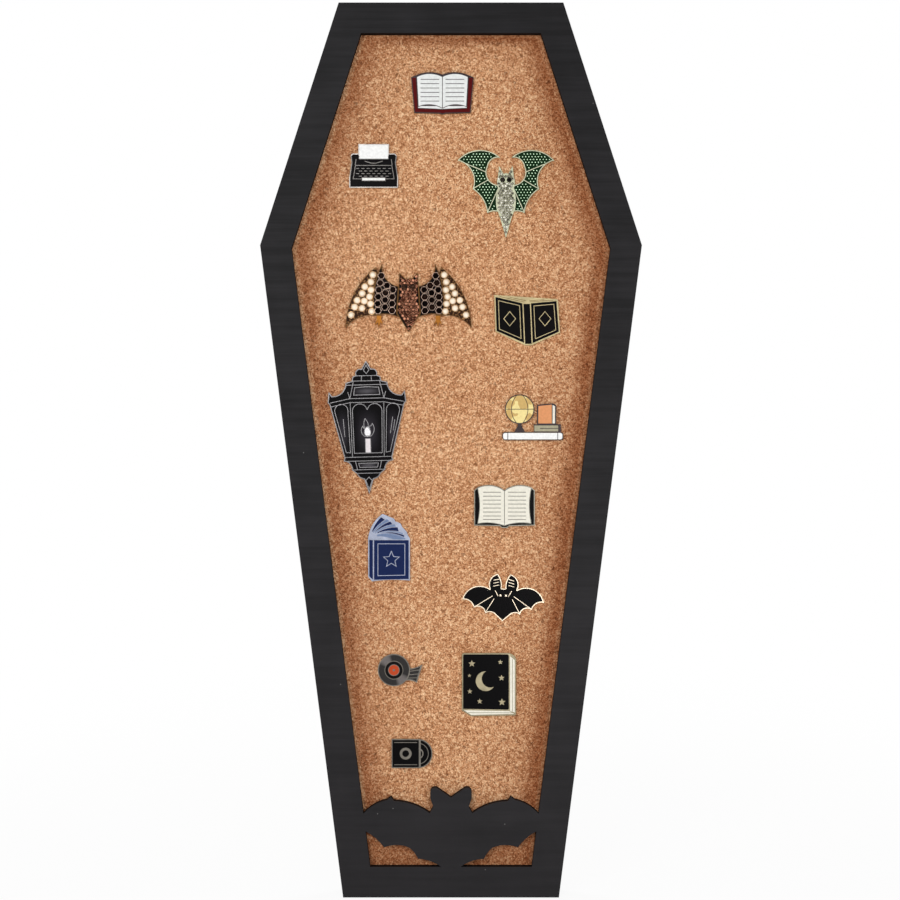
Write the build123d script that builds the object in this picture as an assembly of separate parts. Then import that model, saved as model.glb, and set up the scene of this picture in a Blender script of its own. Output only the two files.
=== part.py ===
from build123d import *
import os
from math import ceil, cos, hypot, radians, sin, sqrt

# A coffin-shaped cork pin board with thirteen pins, in millimetres, +Z up.
# The origin is the middle of the rear face of the back panel. The front looks along -Y.

# Outline of the board
HEIGHT = 450.0
SHOULDER_WIDTH = 192.0
TOP_WIDTH = 113.0
FOOT_WIDTH = 108.5
SHOULDER_DROP = 122.0

# Front frame, side rails and the panels that they hold
BORDER = 15.4
FRAME_THICKNESS = 5.0
RAIL_WIDTH = 13.5
REBATE = 6.0
CORK_THICKNESS = 10.0
BACK_THICKNESS = 3.0
PANEL_CLEARANCE = 0.3

# Screws that hold the back panel in its rebate
SCREW_SPACING = 125.0
SCREW_END_GAP = 22.0
SCREW_LENGTH = 8.0
SCREW_SHANK_RADIUS = 1.0
SCREW_HEAD_RADIUS = 1.8
SCREW_HEAD_DEPTH = 1.2
SCREW_POINT = 1.4
SCREW_SLOT_LENGTH = 2.2
SCREW_SLOT_WIDTH = 0.45
SCREW_SLOT_DEPTH = 0.6
FASTENER_CLEARANCE = 0.05
HOLE_SPARE_DEPTH = 0.5

# Sawtooth hanger and its nails
HANGER_LENGTH = 45.0
HANGER_HEIGHT = 6.5
HANGER_SHEET = 0.8
HANGER_STANDOFF = 1.5
HANGER_FOOT = 8.0
HANGER_RAMP = 3.0
HANGER_TOOTH_PITCH = 2.4
HANGER_TOOTH_DEPTH = 1.4
HANGER_TEETH = 9
NAIL_INSET = 3.5
NAIL_RADIUS = 0.6
NAIL_HEAD_RADIUS = 1.3
NAIL_HEAD = 0.5
NAIL_LENGTH = 8.0
NAIL_POINT = 1.2

# Rubber pads that keep the foot off the wall
BUMPER_RADIUS = 3.4
BUMPER_ROUND = 0.6
BUMPER_END_GAP = 9.0

# Pins: a metal plate with sunk cells, the enamel in them, and two posts in the cork
PLATE_THICKNESS = 1.6
CELL_DEPTH = 0.6
ENAMEL_SINK = 0.05
RIM = 0.45
BROOCH_RIM = 0.3
LINE = 0.32
FINE_LINE = 0.24
POST_RADIUS = 0.6
POST_LENGTH = 8.0
POST_POINT = 1.0
POST_CLEARANCE = 0.05
POST_SPARE_DEPTH = 0.5
STAR_WAIST = 0.45
STONE_HEIGHT = 0.7
STONE_SIDES = 8
STONE_TAPER = 32.0
STONE_GAP = 0.12
STONE_TRIES = 4
STONE_STEP = 0.35
SMALL_STONE = 0.64
MEDIUM_STONE = 0.8
BLACK_STONE = 1.65
PEARL = 1.5
FAN_DROOP = 1.6
FAN_MIDDLE = 12.0
KEY_ROWS = 4
KEY_COLUMNS = 7
KEY_PITCH = 2.7
KEY_ROW_PITCH = 1.3
KEY_WIDTH = 1.5

# Where the middle of each pin lies, as shares of the opening's half width at the
# shoulders and of its half height, so that the pins stay spread over the cork
PIN_PLACES = {
    "red_book": (-0.054, 0.859),
    "typewriter": (-0.486, 0.684),
    "green_bat": (0.345, 0.616),
    "jewelled_bat": (-0.267, 0.368),
    "black_book": (0.486, 0.316),
    "lantern": (-0.524, 0.055),
    "shelf": (0.514, 0.082),
    "white_book": (0.336, -0.136),
    "blue_book": (-0.389, -0.238),
    "little_bat": (0.328, -0.356),
    "record": (-0.319, -0.530),
    "star_book": (0.238, -0.565),
    "sleeve": (-0.245, -0.729),
}

# Pins that are pinned on a little askew, in degrees to the left
PIN_TURNS = {"lantern": 1.5, "little_bat": -2.3}

# Planes along the depth, from the back panel's rear face to the front
FRAME_BACK = -(CORK_THICKNESS + BACK_THICKNESS)
FRAME_FRONT = FRAME_BACK - FRAME_THICKNESS
CORK_FACE = FRAME_BACK

parts = {}


def inset_outline(inset):
    """Corners of the board's outline drawn in by an inset, clockwise from the top left."""
    top = HEIGHT / 2
    shoulder = top - SHOULDER_DROP
    corners = [
        (-TOP_WIDTH / 2, top),
        (TOP_WIDTH / 2, top),
        (SHOULDER_WIDTH / 2, shoulder),
        (FOOT_WIDTH / 2, -top),
        (-FOOT_WIDTH / 2, -top),
        (-SHOULDER_WIDTH / 2, shoulder),
    ]
    drawn_in = []
    for i, (x, z) in enumerate(corners):
        before = corners[i - 1]
        after = corners[(i + 1) % len(corners)]
        turn_in = unit(before, (x, z))
        turn_out = unit((x, z), after)
        # The corner moves along the bisector of its two edges' inward normals.
        normal_in = (turn_in[1], -turn_in[0])
        normal_out = (turn_out[1], -turn_out[0])
        spread = 1 + normal_in[0] * normal_out[0] + normal_in[1] * normal_out[1]
        drawn_in.append((
            x + inset * (normal_in[0] + normal_out[0]) / spread,
            z + inset * (normal_in[1] + normal_out[1]) / spread,
        ))
    return drawn_in


def unit(start, end):
    """Direction from one point to another."""
    length = hypot(end[0] - start[0], end[1] - start[1])
    return ((end[0] - start[0]) / length, (end[1] - start[1]) / length)


def outline(steps):
    """A closed face. Each step is a point, or an arc as (a point on it, its end)."""
    at = steps[0]
    edges = []
    for step in steps[1:]:
        if isinstance(step[0], tuple):
            edges.append(ThreePointArc(at, step[0], step[1]))
            at = step[1]
        else:
            edges.append(Line(at, step))
            at = step
    if at != steps[0]:
        edges.append(Line(at, steps[0]))
    return make_face(edges)


def flipped(steps):
    """The same steps on the other side of the middle line."""
    other = []
    for step in steps:
        if isinstance(step[0], tuple):
            other.append(tuple((-x, z) for x, z in step))
        else:
            other.append((-step[0], step[1]))
    return other


def pair(steps):
    """An outline and its mirror image."""
    return outline(steps) + outline(flipped(steps))


def strip(start, end, width):
    """A thin straight bar between two points."""
    along = unit(start, end)
    side = (-along[1] * width / 2, along[0] * width / 2)
    return outline([
        (start[0] + side[0], start[1] + side[1]),
        (end[0] + side[0], end[1] + side[1]),
        (end[0] - side[0], end[1] - side[1]),
        (start[0] - side[0], start[1] - side[1]),
    ])


def strip_pair(start, end, width):
    """A thin bar and its mirror image."""
    return strip(start, end, width) + strip((-start[0], start[1]), (-end[0], end[1]), width)


def shrunk(face, by):
    """A face drawn in all round."""
    return offset(face, amount=-by, kind=Kind.ARC)


def grown(face, by):
    """A face drawn out all round."""
    return offset(face, amount=by, kind=Kind.ARC)


def pair_shrunk(steps, by):
    """An outline and its mirror image, each drawn in."""
    return shrunk(outline(steps), by) + shrunk(outline(flipped(steps)), by)


def ring(face, width):
    """The outer band of a face."""
    return face - shrunk(face, width)


def disc(x, z, radius):
    """A round face."""
    return Pos(x, z) * Circle(radius)


def block(x, z, width, height):
    """A rectangle round its middle."""
    return Pos(x, z) * Rectangle(width, height)


def star(x, z, radius):
    """A five-pointed star."""
    points = []
    for i in range(10):
        reach = radius if i % 2 == 0 else radius * STAR_WAIST
        turn = radians(90 + 36 * i)
        points.append((x + reach * cos(turn), z + reach * sin(turn)))
    return outline(points)


def slab(face, front, back):
    """A face of the board's outline plane, as a slab between two depths."""
    placed = Plane(origin=(0, back, 0), x_dir=(1, 0, 0), z_dir=(0, -1, 0)) * face
    return extrude(placed, amount=back - front, dir=(0, -1, 0))


# The opening that the front frame leaves, used by the bat and the pins
OPENING = inset_outline(BORDER)
OPENING_HALF_HEIGHT = OPENING[0][1]
OPENING_HALF_WIDTH = OPENING[2][0]
SILL = OPENING[3][1]


def opening_side(z):
    """Half width of the opening at a height below the shoulders."""
    shoulder = OPENING[2]
    foot = OPENING[3]
    share = (z - foot[1]) / (shoulder[1] - foot[1])
    return foot[0] + share * (shoulder[0] - foot[0])


def bat_crossbar():
    """The flying bat across the foot of the frame, one piece with it."""
    # Heights are counted from the lower inner edge of the frame.
    tip_top = SILL + 26.7
    tip_bottom = SILL + 17.9
    under_border = BORDER / 2
    upper_side = opening_side(tip_top)
    lower_side = opening_side(tip_bottom)
    half = [
        (0.0, SILL + 34.8),
        (6.4, SILL + 39.2),
        ((9.0, SILL + 39.6), (10.4, SILL + 37.8)),
        (10.4, SILL + 34.5),
        (8.9, SILL + 30.2),
        (10.7, SILL + 27.0),
        ((19.2, SILL + 31.4), (28.7, SILL + 33.1)),
        (30.2, SILL + 35.1),
        (32.2, SILL + 33.6),
        ((38.6, SILL + 31.2), (upper_side, tip_top)),
        (upper_side + under_border, tip_top),
        (lower_side + under_border, tip_bottom),
        (lower_side, tip_bottom),
        ((37.4, SILL + 14.0), (33.6, SILL + 9.8)),
        ((27.4, SILL + 11.0), (21.2, SILL + 9.8)),
        ((18.6, SILL + 7.4), (16.6, SILL + 4.1)),
        ((10.6, SILL + 3.0), (4.8, SILL)),
        (4.8, SILL - under_border),
        (0.0, SILL - under_border),
    ]
    return pair(half)


def make_front_frame():
    """The flat black front: one cut panel with the bat in its foot."""
    border = outline(inset_outline(0)) - outline(OPENING)
    parts["front_frame"] = slab(border + bat_crossbar(), FRAME_FRONT, FRAME_BACK)


def make_rails():
    """Six mitred rails behind the front, each with a rebate for the back panel."""
    outer = inset_outline(0)
    inner = inset_outline(RAIL_WIDTH)
    ledge = inset_outline(RAIL_WIDTH - REBATE)
    names = ["top", "upper_right", "lower_right", "bottom", "lower_left", "upper_left"]
    for i, name in enumerate(names):
        j = (i + 1) % len(names)
        front = outline([outer[i], outer[j], inner[j], inner[i]])
        rear = outline([outer[i], outer[j], ledge[j], ledge[i]])
        rail = slab(front, FRAME_BACK, -BACK_THICKNESS) + slab(rear, -BACK_THICKNESS, 0)
        parts["rail_" + name] = rail


def make_panels():
    """The cork that the pins go into, and the thin panel behind it."""
    cork = outline(inset_outline(RAIL_WIDTH + PANEL_CLEARANCE))
    parts["cork_panel"] = slab(cork, CORK_FACE, -BACK_THICKNESS)
    back = outline(inset_outline(RAIL_WIDTH - REBATE + PANEL_CLEARANCE))
    parts["back_panel"] = slab(back, -BACK_THICKNESS, 0)


def screw_places():
    """Evenly spaced points along the middle of the rebate, side by side with its rails."""
    line = inset_outline(RAIL_WIDTH - REBATE / 2)
    names = ["top", "upper_right", "lower_right", "bottom", "lower_left", "upper_left"]
    places = []
    for i, name in enumerate(names):
        start = line[i]
        end = line[(i + 1) % len(line)]
        along = unit(start, end)
        length = hypot(end[0] - start[0], end[1] - start[1])
        run = length - 2 * SCREW_END_GAP
        gaps = max(1, round(run / SCREW_SPACING))
        for k in range(gaps + 1):
            reach = SCREW_END_GAP + run * k / gaps
            places.append((name, start[0] + along[0] * reach, start[1] + along[1] * reach))
    return places


def turned(profile, x, y, z):
    """A body of revolution about a line along Y. The profile is (radius, depth) points."""
    face = make_face(Polyline(profile, close=True))
    body = revolve(face, Axis.Y)
    return Pos(x, y, z) * body


def make_screws():
    """Countersunk screws through the back panel into the rails."""
    shank = SCREW_SHANK_RADIUS
    head = SCREW_HEAD_RADIUS
    screw_profile = [
        (0, 0),
        (head, 0),
        (shank, -SCREW_HEAD_DEPTH),
        (shank, -(SCREW_LENGTH - SCREW_POINT)),
        (0, -SCREW_LENGTH),
    ]
    gap = FASTENER_CLEARANCE
    hole_end = -(SCREW_LENGTH + HOLE_SPARE_DEPTH)
    hole_profile = [
        (0, 0),
        (head + gap, 0),
        (shank + gap, -SCREW_HEAD_DEPTH),
        (shank + gap, hole_end),
        (0, hole_end),
    ]
    slot = Box(SCREW_SLOT_LENGTH, SCREW_SLOT_DEPTH, SCREW_SLOT_WIDTH)
    slot += Box(SCREW_SLOT_WIDTH, SCREW_SLOT_DEPTH, SCREW_SLOT_LENGTH)
    screw = turned(screw_profile, 0, 0, 0) - Pos(0, -SCREW_SLOT_DEPTH / 2, 0) * slot
    screws = []
    for rail, x, z in screw_places():
        hole = turned(hole_profile, x, 0, z)
        parts["back_panel"] -= hole
        parts["rail_" + rail] -= hole
        screws.append(Pos(x, 0, z) * screw)
    parts["back_panel_screws"] = Compound(screws)


def hanger_height():
    """Middle line of the hanger: the middle of the top rail's rear face."""
    return HEIGHT / 2 - (RAIL_WIDTH - REBATE) / 2


def make_hanger():
    """A bent strip with teeth along its lower edge, nailed to the top rail."""
    half = HANGER_LENGTH / 2
    bend = half - HANGER_FOOT
    crest = bend - HANGER_RAMP
    near = [
        (-half, 0),
        (-bend, 0),
        (-crest, HANGER_STANDOFF),
        (crest, HANGER_STANDOFF),
        (bend, 0),
        (half, 0),
    ]
    far = [(x, y + HANGER_SHEET) for x, y in reversed(near)]
    middle = hanger_height()
    profile = make_face(Polyline(near + far, close=True))
    bar = extrude(Pos(0, 0, middle - HANGER_HEIGHT / 2) * profile, amount=HANGER_HEIGHT)
    lower = middle - HANGER_HEIGHT / 2
    for k in range(HANGER_TEETH):
        x = (k - (HANGER_TEETH - 1) / 2) * HANGER_TOOTH_PITCH
        notch = outline([
            (x - HANGER_TOOTH_PITCH / 2, lower),
            (x, lower + HANGER_TOOTH_DEPTH),
            (x + HANGER_TOOTH_PITCH / 2, lower),
        ])
        bar -= slab(notch, HANGER_STANDOFF, HANGER_STANDOFF + HANGER_SHEET)
    nail_profile = [
        (0, HANGER_SHEET + NAIL_HEAD),
        (NAIL_HEAD_RADIUS, HANGER_SHEET + NAIL_HEAD / 2),
        (NAIL_HEAD_RADIUS, HANGER_SHEET),
        (NAIL_RADIUS, HANGER_SHEET),
        (NAIL_RADIUS, NAIL_POINT - NAIL_LENGTH),
        (0, -NAIL_LENGTH),
    ]
    hole_radius = NAIL_RADIUS + FASTENER_CLEARANCE
    hole_end = -(NAIL_LENGTH + HOLE_SPARE_DEPTH)
    hole_profile = [
        (0, HANGER_SHEET),
        (hole_radius, HANGER_SHEET),
        (hole_radius, hole_end),
        (0, hole_end),
    ]
    nails = []
    for x in (-half + NAIL_INSET, half - NAIL_INSET):
        hole = turned(hole_profile, x, 0, middle)
        bar -= hole
        parts["rail_top"] -= hole
        nails.append(turned(nail_profile, x, 0, middle))
    parts["sawtooth_hanger"] = bar
    parts["hanger_nails"] = Compound(nails)


def make_bumpers():
    """Two rubber pads as thick as the hanger stands out, so the board hangs flat."""
    thickness = HANGER_STANDOFF + HANGER_SHEET
    profile = [
        (0, 0),
        (BUMPER_RADIUS, 0),
        (BUMPER_RADIUS, thickness - BUMPER_ROUND),
        (BUMPER_RADIUS - BUMPER_ROUND, thickness),
        (0, thickness),
    ]
    z = -HEIGHT / 2 + (RAIL_WIDTH - REBATE) / 2
    x = FOOT_WIDTH / 2 - BUMPER_END_GAP
    parts["wall_bumpers"] = Compound([turned(profile, -x, 0, z), turned(profile, x, 0, z)])


def pin_plane(name):
    """The plane on the cork's face with its origin at the pin's middle."""
    across, up = PIN_PLACES[name]
    place = (across * OPENING_HALF_WIDTH, CORK_FACE, up * OPENING_HALF_HEIGHT)
    turn = radians(PIN_TURNS.get(name, 0))
    return Plane(origin=place, x_dir=(cos(turn), 0, sin(turn)), z_dir=(0, -1, 0))


def make_pin(name, plate, cells, post_points):
    """A pin: its plate, the enamel of each colour in its cells, and its posts."""
    plane = pin_plane(name)
    body = extrude(plate, amount=PLATE_THICKNESS)
    floor = PLATE_THICKNESS - CELL_DEPTH
    for node, faces in cells.items():
        sunk = Pos(0, 0, floor) * faces
        body -= extrude(sunk, amount=CELL_DEPTH)
        parts[node] = plane * extrude(sunk, amount=CELL_DEPTH - ENAMEL_SINK)
    parts[name + "_plate"] = plane * body
    post_profile = make_face(Polyline(
        (0, 0),
        (POST_RADIUS, 0),
        (POST_RADIUS, POST_POINT - POST_LENGTH),
        (0, -POST_LENGTH),
        close=True,
    ))
    post = revolve(Plane.XZ * post_profile, Axis.Z)
    hole_depth = POST_LENGTH + POST_SPARE_DEPTH
    hole_top = (Align.CENTER, Align.CENTER, Align.MAX)
    hole = Cylinder(POST_RADIUS + POST_CLEARANCE, hole_depth, align=hole_top)
    posts = []
    for x, z in post_points:
        parts["cork_panel"] -= plane * (Pos(x, z) * hole)
        posts.append(plane * (Pos(x, z) * post))
    parts[name + "_posts"] = Compound(posts)


def set_stones(name, node, spots, radius):
    """Cut stones, each with a flat top, on a pin's plate."""
    plane = pin_plane(name)
    seat = Pos(0, 0, PLATE_THICKNESS) * RegularPolygon(radius, STONE_SIDES)
    stone = extrude(seat, amount=STONE_HEIGHT * radius, taper=STONE_TAPER)
    parts[node] = Compound([plane * (Pos(x, z) * stone) for x, z in spots])


def far_from(spot, others, distance):
    """Whether a spot is at least a distance from all the others."""
    return all(hypot(spot[0] - x, spot[1] - z) > distance for x, z in others)


def stone_fits(face, x, z, radius):
    """Whether a whole stone lies on a face."""
    turns = [radians(45 * k) for k in range(8)]
    rim = [(x + radius * cos(turn), z + radius * sin(turn), 0) for turn in turns]
    return face.is_inside((x, z, 0)) and all(face.is_inside(point) for point in rim)


def packed_spots(faces, radius):
    """Middles of stones in rows like a honeycomb, where whole stones fit on the faces."""
    pitch = 2 * radius + STONE_GAP
    rise = pitch * sqrt(3) / 2
    spots = []
    for face in faces:
        box = face.bounding_box()
        rows = ceil((box.max.Y - box.min.Y) / rise)
        columns = ceil((box.max.X - box.min.X) / pitch)
        tries = []
        # The rows start where most stones fit on the face.
        for k in range(STONE_TRIES ** 2):
            start_x = box.min.X - pitch + pitch * (k % STONE_TRIES) / STONE_TRIES
            start_z = box.min.Y + rise * (k // STONE_TRIES) / STONE_TRIES
            grid = [
                (start_x + (column + (row % 2) / 2) * pitch, start_z + row * rise)
                for row in range(rows + 1)
                for column in range(columns + 2)
            ]
            tries.append([(x, z) for x, z in grid if stone_fits(face, x, z, radius)])
        chosen = max(tries, key=len)
        # Single stones fill what the rows leave at the ends.
        for row in range(ceil((box.max.Y - box.min.Y) / STONE_STEP)):
            for column in range(ceil((box.max.X - box.min.X) / STONE_STEP)):
                spot = (box.min.X + column * STONE_STEP, box.min.Y + row * STONE_STEP)
                if far_from(spot, chosen, pitch) and stone_fits(face, spot[0], spot[1], radius):
                    chosen.append(spot)
        spots += chosen
    return spots


def mirrored_spots(spots):
    """The same spots and their mirror images."""
    return spots + [(-x, z) for x, z in spots]


def page_lines(left, right, levels):
    """Short level bars on two facing pages, like lines of print."""
    bars = Sketch()
    for level in levels:
        bars += strip_pair((left, level), (right, level), LINE)
    return bars


def make_red_book():
    """An open book seen from the front, on a red cover that shows all round."""
    cover = pair([
        (0, 9.4),
        ((6.6, 10.6), (13.2, 9.1)),
        (15.8, 8.0),
        (14.2, -9.9),
        (1.5, -10.2),
        (0, -10.6),
    ])
    page = [
        (LINE / 2, 8.2),
        ((6.4, 9.7), (12.8, 8.1)),
        (12.0, -6.6),
        ((6.2, -5.6), (LINE / 2, -7.4)),
    ]
    pages = pair(page)
    backing = outline([(-13.4, 8.6), (13.4, 8.6), (12.5, -7.7), (0, -8.3), (-12.5, -7.7)])
    # The cover's enamel shows at the sides and the foot, and ends below the pages' tops.
    margin = shrunk(cover, RIM) - backing - block(0, 9.2, 31, 2.8)
    lines = page_lines(1.6, 11.0, [7.0, 4.8, 2.6, 0.4, -1.8, -4.0])
    # Only the foot of the pages' edges shows.
    page_edges = shrunk(backing, LINE) - grown(pages, LINE) - block(0, 2, 31, 17)
    cells = {"red_book_cover": margin, "red_book_pages": pages - lines + page_edges}
    make_pin("red_book", cover, cells, [(-7, 0), (7, 0)])


def make_typewriter():
    """A typewriter from the front, with a blank sheet standing in its roller."""
    body = pair([
        (0, 11.0),
        (7.7, 11.0),
        (7.7, 6.2),
        (9.8, 6.2),
        ((11.2, 5.8), (11.5, 4.2)),
        (11.2, 1.6),
        (12.3, -6.0),
        (12.3, -10.4),
        ((12.1, -10.9), (11.6, -11.0)),
        (0, -11.0),
    ])
    sheet = block(0, 7.1, 14.4, 6.9)
    space_bar = block(0, -6.7, 11.4, 1.1)
    tray = outline([(-9.3, 0.4), (9.3, 0.4), (10.5, -6.7), (-10.5, -6.7)])
    lines = ring(tray, LINE) + strip_pair((9.3, 0.4), (8.9, 3.4), LINE)
    lines += strip_pair((1.2, 1.4), (4.6, 2.4), LINE) + block(0, 1.4, 2.4, LINE)
    for row in range(KEY_ROWS):
        for k in range(KEY_COLUMNS - row % 2):
            x = KEY_PITCH * (k - (KEY_COLUMNS - row % 2 - 1) / 2)
            lines += block(x, -1.3 - KEY_ROW_PITCH * row, KEY_WIDTH, LINE)
    field = shrunk(body, RIM) - grown(sheet, LINE) - grown(space_bar, LINE) - lines
    cells = {"typewriter_enamel": field + sheet + space_bar}
    make_pin("typewriter", body, cells, [(-6, 0), (6, 0)])


def make_green_bat():
    """A bat with raised wings of green enamel and a long body set with stones."""
    wing = [
        (2.6, 4.6),
        ((9.4, 8.6), (9.2, 13.8)),
        ((7.2, 17.4), (2.8, 18.4)),
        ((13.4, 22.2), (24.4, 17.0)),
        ((17.2, 11.4), (16.8, 2.6)),
        ((11.8, -2.4), (9.4, -9.6)),
        ((5.8, -8.6), (2.0, -9.6)),
    ]
    half_body = [
        (0, 10.6),
        (1.2, 10.2),
        (3.4, 14.2),
        (4.0, 8.6),
        ((4.4, 5.4), (3.6, 3.2)),
        ((4.7, -3.6), (3.0, -11.6)),
        (0, -22.0),
    ]
    body = pair(half_body)
    rib = 1.4 * LINE
    ribs = (
        strip_pair((9.6, 11.0), (23.6, 16.8), rib)
        + strip_pair((8.6, 7.4), (16.8, 2.6), rib)
        + strip_pair((3.6, 3.4), (9.4, -9.4), rib)
    )
    membrane = pair_shrunk(wing, RIM) - ribs - grown(body, LINE)
    eyes = disc(-1.6, 7.2, 1.0) + disc(1.6, 7.2, 1.0)
    plate = pair(wing) + body
    make_pin("green_bat", plate, {"green_bat_enamel": membrane + eyes}, [(0, 6), (0, -8)])
    spots = packed_spots(body.faces(), SMALL_STONE)
    clear = [spot for spot in spots if far_from(spot, [(-1.6, 7.2), (1.6, 7.2)], 1.0 + SMALL_STONE)]
    set_stones("green_bat", "green_bat_stones", clear, SMALL_STONE)


def make_jewelled_bat():
    """A bat with spread wings, all set with stones of three colours."""
    inner_wing = [
        (3.2, 5.4),
        ((10.4, 8.2), (13.2, 17.0)),
        ((16.2, 9.4), (17.6, -9.2)),
        ((10.8, -8.6), (4.4, -10.4)),
    ]
    outer_wing = [
        (16.4, 15.2),
        ((26.2, 4.2), (31.8, -15.6)),
        ((25.2, -10.4), (16.2, -9.4)),
        ((16.4, 3.2), (15.2, 11.6)),
    ]
    half_body = [
        (0, 9.4),
        (1.8, 9.4),
        (4.6, 12.4),
        (5.0, 5.6),
        (5.9, -8.2),
        (0, -17.6),
    ]
    foot = [
        (13.6, -8.4),
        (16.2, -8.4),
        (16.0, -11.4),
        (17.0, -14.2),
        (15.4, -12.6),
        (14.9, -15.4),
        (14.2, -12.6),
        (12.8, -14.0),
        (13.8, -11.4),
    ]
    body = pair(half_body)
    plate = pair(inner_wing) + pair(outer_wing) + pair(foot) + body
    beside_body = pair_shrunk(inner_wing, BROOCH_RIM) - grown(body, BROOCH_RIM)
    beyond = pair_shrunk(outer_wing, BROOCH_RIM) - grown(pair(inner_wing), BROOCH_RIM)
    cells = {"jewelled_bat_enamel": beside_body + beyond + shrunk(body, BROOCH_RIM)}
    make_pin("jewelled_bat", plate, cells, [(-9, 0), (9, 0)])
    dark = [
        (13.7, 10.7),
        (14.3, 7.1),
        (15.0, 3.6),
        (15.3, 0.1),
        (15.5, -3.4),
        (15.4, -6.9),
        (10.9, 5.8),
        (11.6, 2.1),
        (11.8, -1.5),
        (11.9, -5.1),
        (7.9, 3.6),
        (8.2, 0.1),
        (8.3, -3.4),
        (8.3, -6.9),
    ]
    pale = [
        (18.0, 11.2),
        (19.0, 7.6),
        (22.0, 5.2),
        (18.9, 3.6),
        (23.4, 1.8),
        (19.7, 0.2),
        (25.9, -1.6),
        (22.3, -2.0),
        (19.2, -3.4),
        (27.2, -5.0),
        (23.5, -5.6),
        (18.6, -7.2),
        (29.0, -9.0),
    ]
    amber = packed_spots(body.faces(), MEDIUM_STONE)
    set_stones("jewelled_bat", "jewelled_bat_black_stones", mirrored_spots(dark), BLACK_STONE)
    set_stones("jewelled_bat", "jewelled_bat_white_stones", mirrored_spots(pale), PEARL)
    set_stones("jewelled_bat", "jewelled_bat_amber_stones", amber, MEDIUM_STONE)


def make_black_book():
    """An open book from outside, seen a little from the left: covers, spine and page tops."""
    plate = outline([
        (-17.2, 12.0),
        (14.4, 9.9),
        (15.0, 9.2),
        (16.0, -7.0),
        (1.7, -13.4),
        (-1.6, -13.4),
        (-16.6, -6.5),
    ])
    left = outline([(-16.6, 11.0), (-3.0, 7.8), (-2.1, -12.2), (-16.0, -6.2)])
    right = outline([(1.3, 7.8), (14.2, 8.9), (15.4, -6.6), (2.2, -12.3)])
    spine = outline([(-2.5, 7.5), (0.8, 7.5), (1.7, -12.7), (-1.6, -12.7)])
    borders = Sketch()
    for cover in (left, right):
        borders += shrunk(cover, 1.3) - shrunk(cover, 1.3 + LINE)
    for middle in (-9.4, 8.4):
        badge = outline([(middle - 3.2, 0), (middle, 3.9), (middle + 3.2, 0), (middle, -3.9)])
        borders += ring(badge, LINE)
    top = strip((-14.6, 11.25), (-2.0, 8.4), FINE_LINE)
    top += strip((-9.4, 10.9), (-1.0, 9.0), FINE_LINE)
    top += strip((12.6, 9.4), (0.6, 8.5), FINE_LINE)
    top += strip((8.0, 9.6), (0.6, 9.1), FINE_LINE)
    cells = {"black_book_enamel": left + right - borders + spine + top}
    make_pin("black_book", plate, cells, [(-8, -1), (8, -1)])


def make_lantern():
    """A six-sided wall lantern with a candle in it: fine metal lines on black enamel."""
    plate = pair([
        (0, 33.6),
        (2.4, 29.4),
        ((4.9, 28.8), (5.4, 26.2)),
        (7.0, 25.6),
        (7.4, 23.4),
        (10.6, 22.6),
        ((12.8, 17.6), (17.6, 16.0)),
        (19.2, 18.2),
        (19.8, 12.8),
        (18.8, 11.4),
        (12.0, -15.4),
        (12.6, -17.0),
        ((9.4, -18.4), (8.4, -21.6)),
        (6.0, -23.4),
        ((4.2, -25.6), (2.4, -26.2)),
        (0, -33.8),
    ])
    middle_pane = pair([
        (0, 7.2),
        ((5.0, 11.8), (7.6, 7.6)),
        (7.2, -13.2),
        (0, -13.2),
    ])
    side_pane = [
        (9.6, 7.8),
        ((13.2, 12.0), (16.4, 7.6)),
        (11.2, -12.6),
        (8.8, -13.0),
    ]
    side_panes = pair(side_pane)
    flame = outline([
        (-1.2, 4.6),
        ((0.2, 2.4), (0.6, 0.6)),
        ((1.8, 1.0), (2.2, 2.2)),
        ((3.4, -1.6), (1.4, -4.8)),
        (-1.4, -4.8),
        ((-3.4, -2.0), (-2.4, 0.8)),
        (-1.7, -0.4),
        ((-2.0, 2.0), (-1.2, 4.6)),
    ])
    heart = outline([
        (-0.4, 0.0),
        ((1.2, -2.0), (0.9, -4.2)),
        (-0.9, -4.2),
        ((-1.5, -2.4), (-0.4, 0.0)),
    ])
    levels = [
        (5.6, 26.0),
        (7.0, 23.4),
        (10.4, 21.4),
        (12.2, -15.0),
        (12.0, -17.0),
        (8.4, -21.4),
        (6.0, -23.2),
    ]
    lines = ring(middle_pane, LINE) + ring(flame, LINE)
    lines += side_panes - pair_shrunk(side_pane, LINE)
    for reach, level in levels:
        lines += strip((-reach, level), (reach, level), LINE)
    for level in (12.6, 14.6):
        lines += strip_pair((0, level), (8.6, level), LINE)
        lines += strip_pair((8.6, level), (18.6, level - 2.0), LINE)
    lines += strip_pair((8.5, 12.6), (8.0, -15.0), LINE)
    lines += strip_pair((8.6, 14.6), (6.6, 23.4), LINE)
    lines += strip_pair((8.6, 14.6), (9.6, 18.0), LINE)
    lines += strip_pair((6.6, -17.0), (5.6, -21.4), LINE)
    lines += strip_pair((2.6, 23.4), (2.4, 26.0), LINE)
    lines += ring(pair([(0, 20.6), (6.2, 20.2), (6.8, 16.2), (0, 16.2)]), LINE)
    lines += ring(pair([(0, -18.0), (5.2, -18.0), (4.6, -20.4), (0, -20.4)]), LINE)
    lines += ring(pair([(0, 31.6), (1.6, 28.8), (0, 26.8)]), LINE)
    lines += ring(pair([(0, -25.0), (1.8, -26.8), (0, -31.6)]), LINE)
    lines += strip((12.8, 5.0), (11.4, -3.4), LINE)
    lines += strip((13.8, 3.6), (12.9, -2.0), LINE)
    lines += strip((-12.2, 4.4), (-11.6, -4.6), LINE)
    candle = block(0, -9.3, 2.3, 6.8)
    dark = shrunk(plate, RIM) - lines - grown(candle + heart, LINE)
    cells = {"lantern_enamel": dark + candle + heart}
    make_pin("lantern", plate, cells, [(0, 18.5), (0, -19)])


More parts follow.
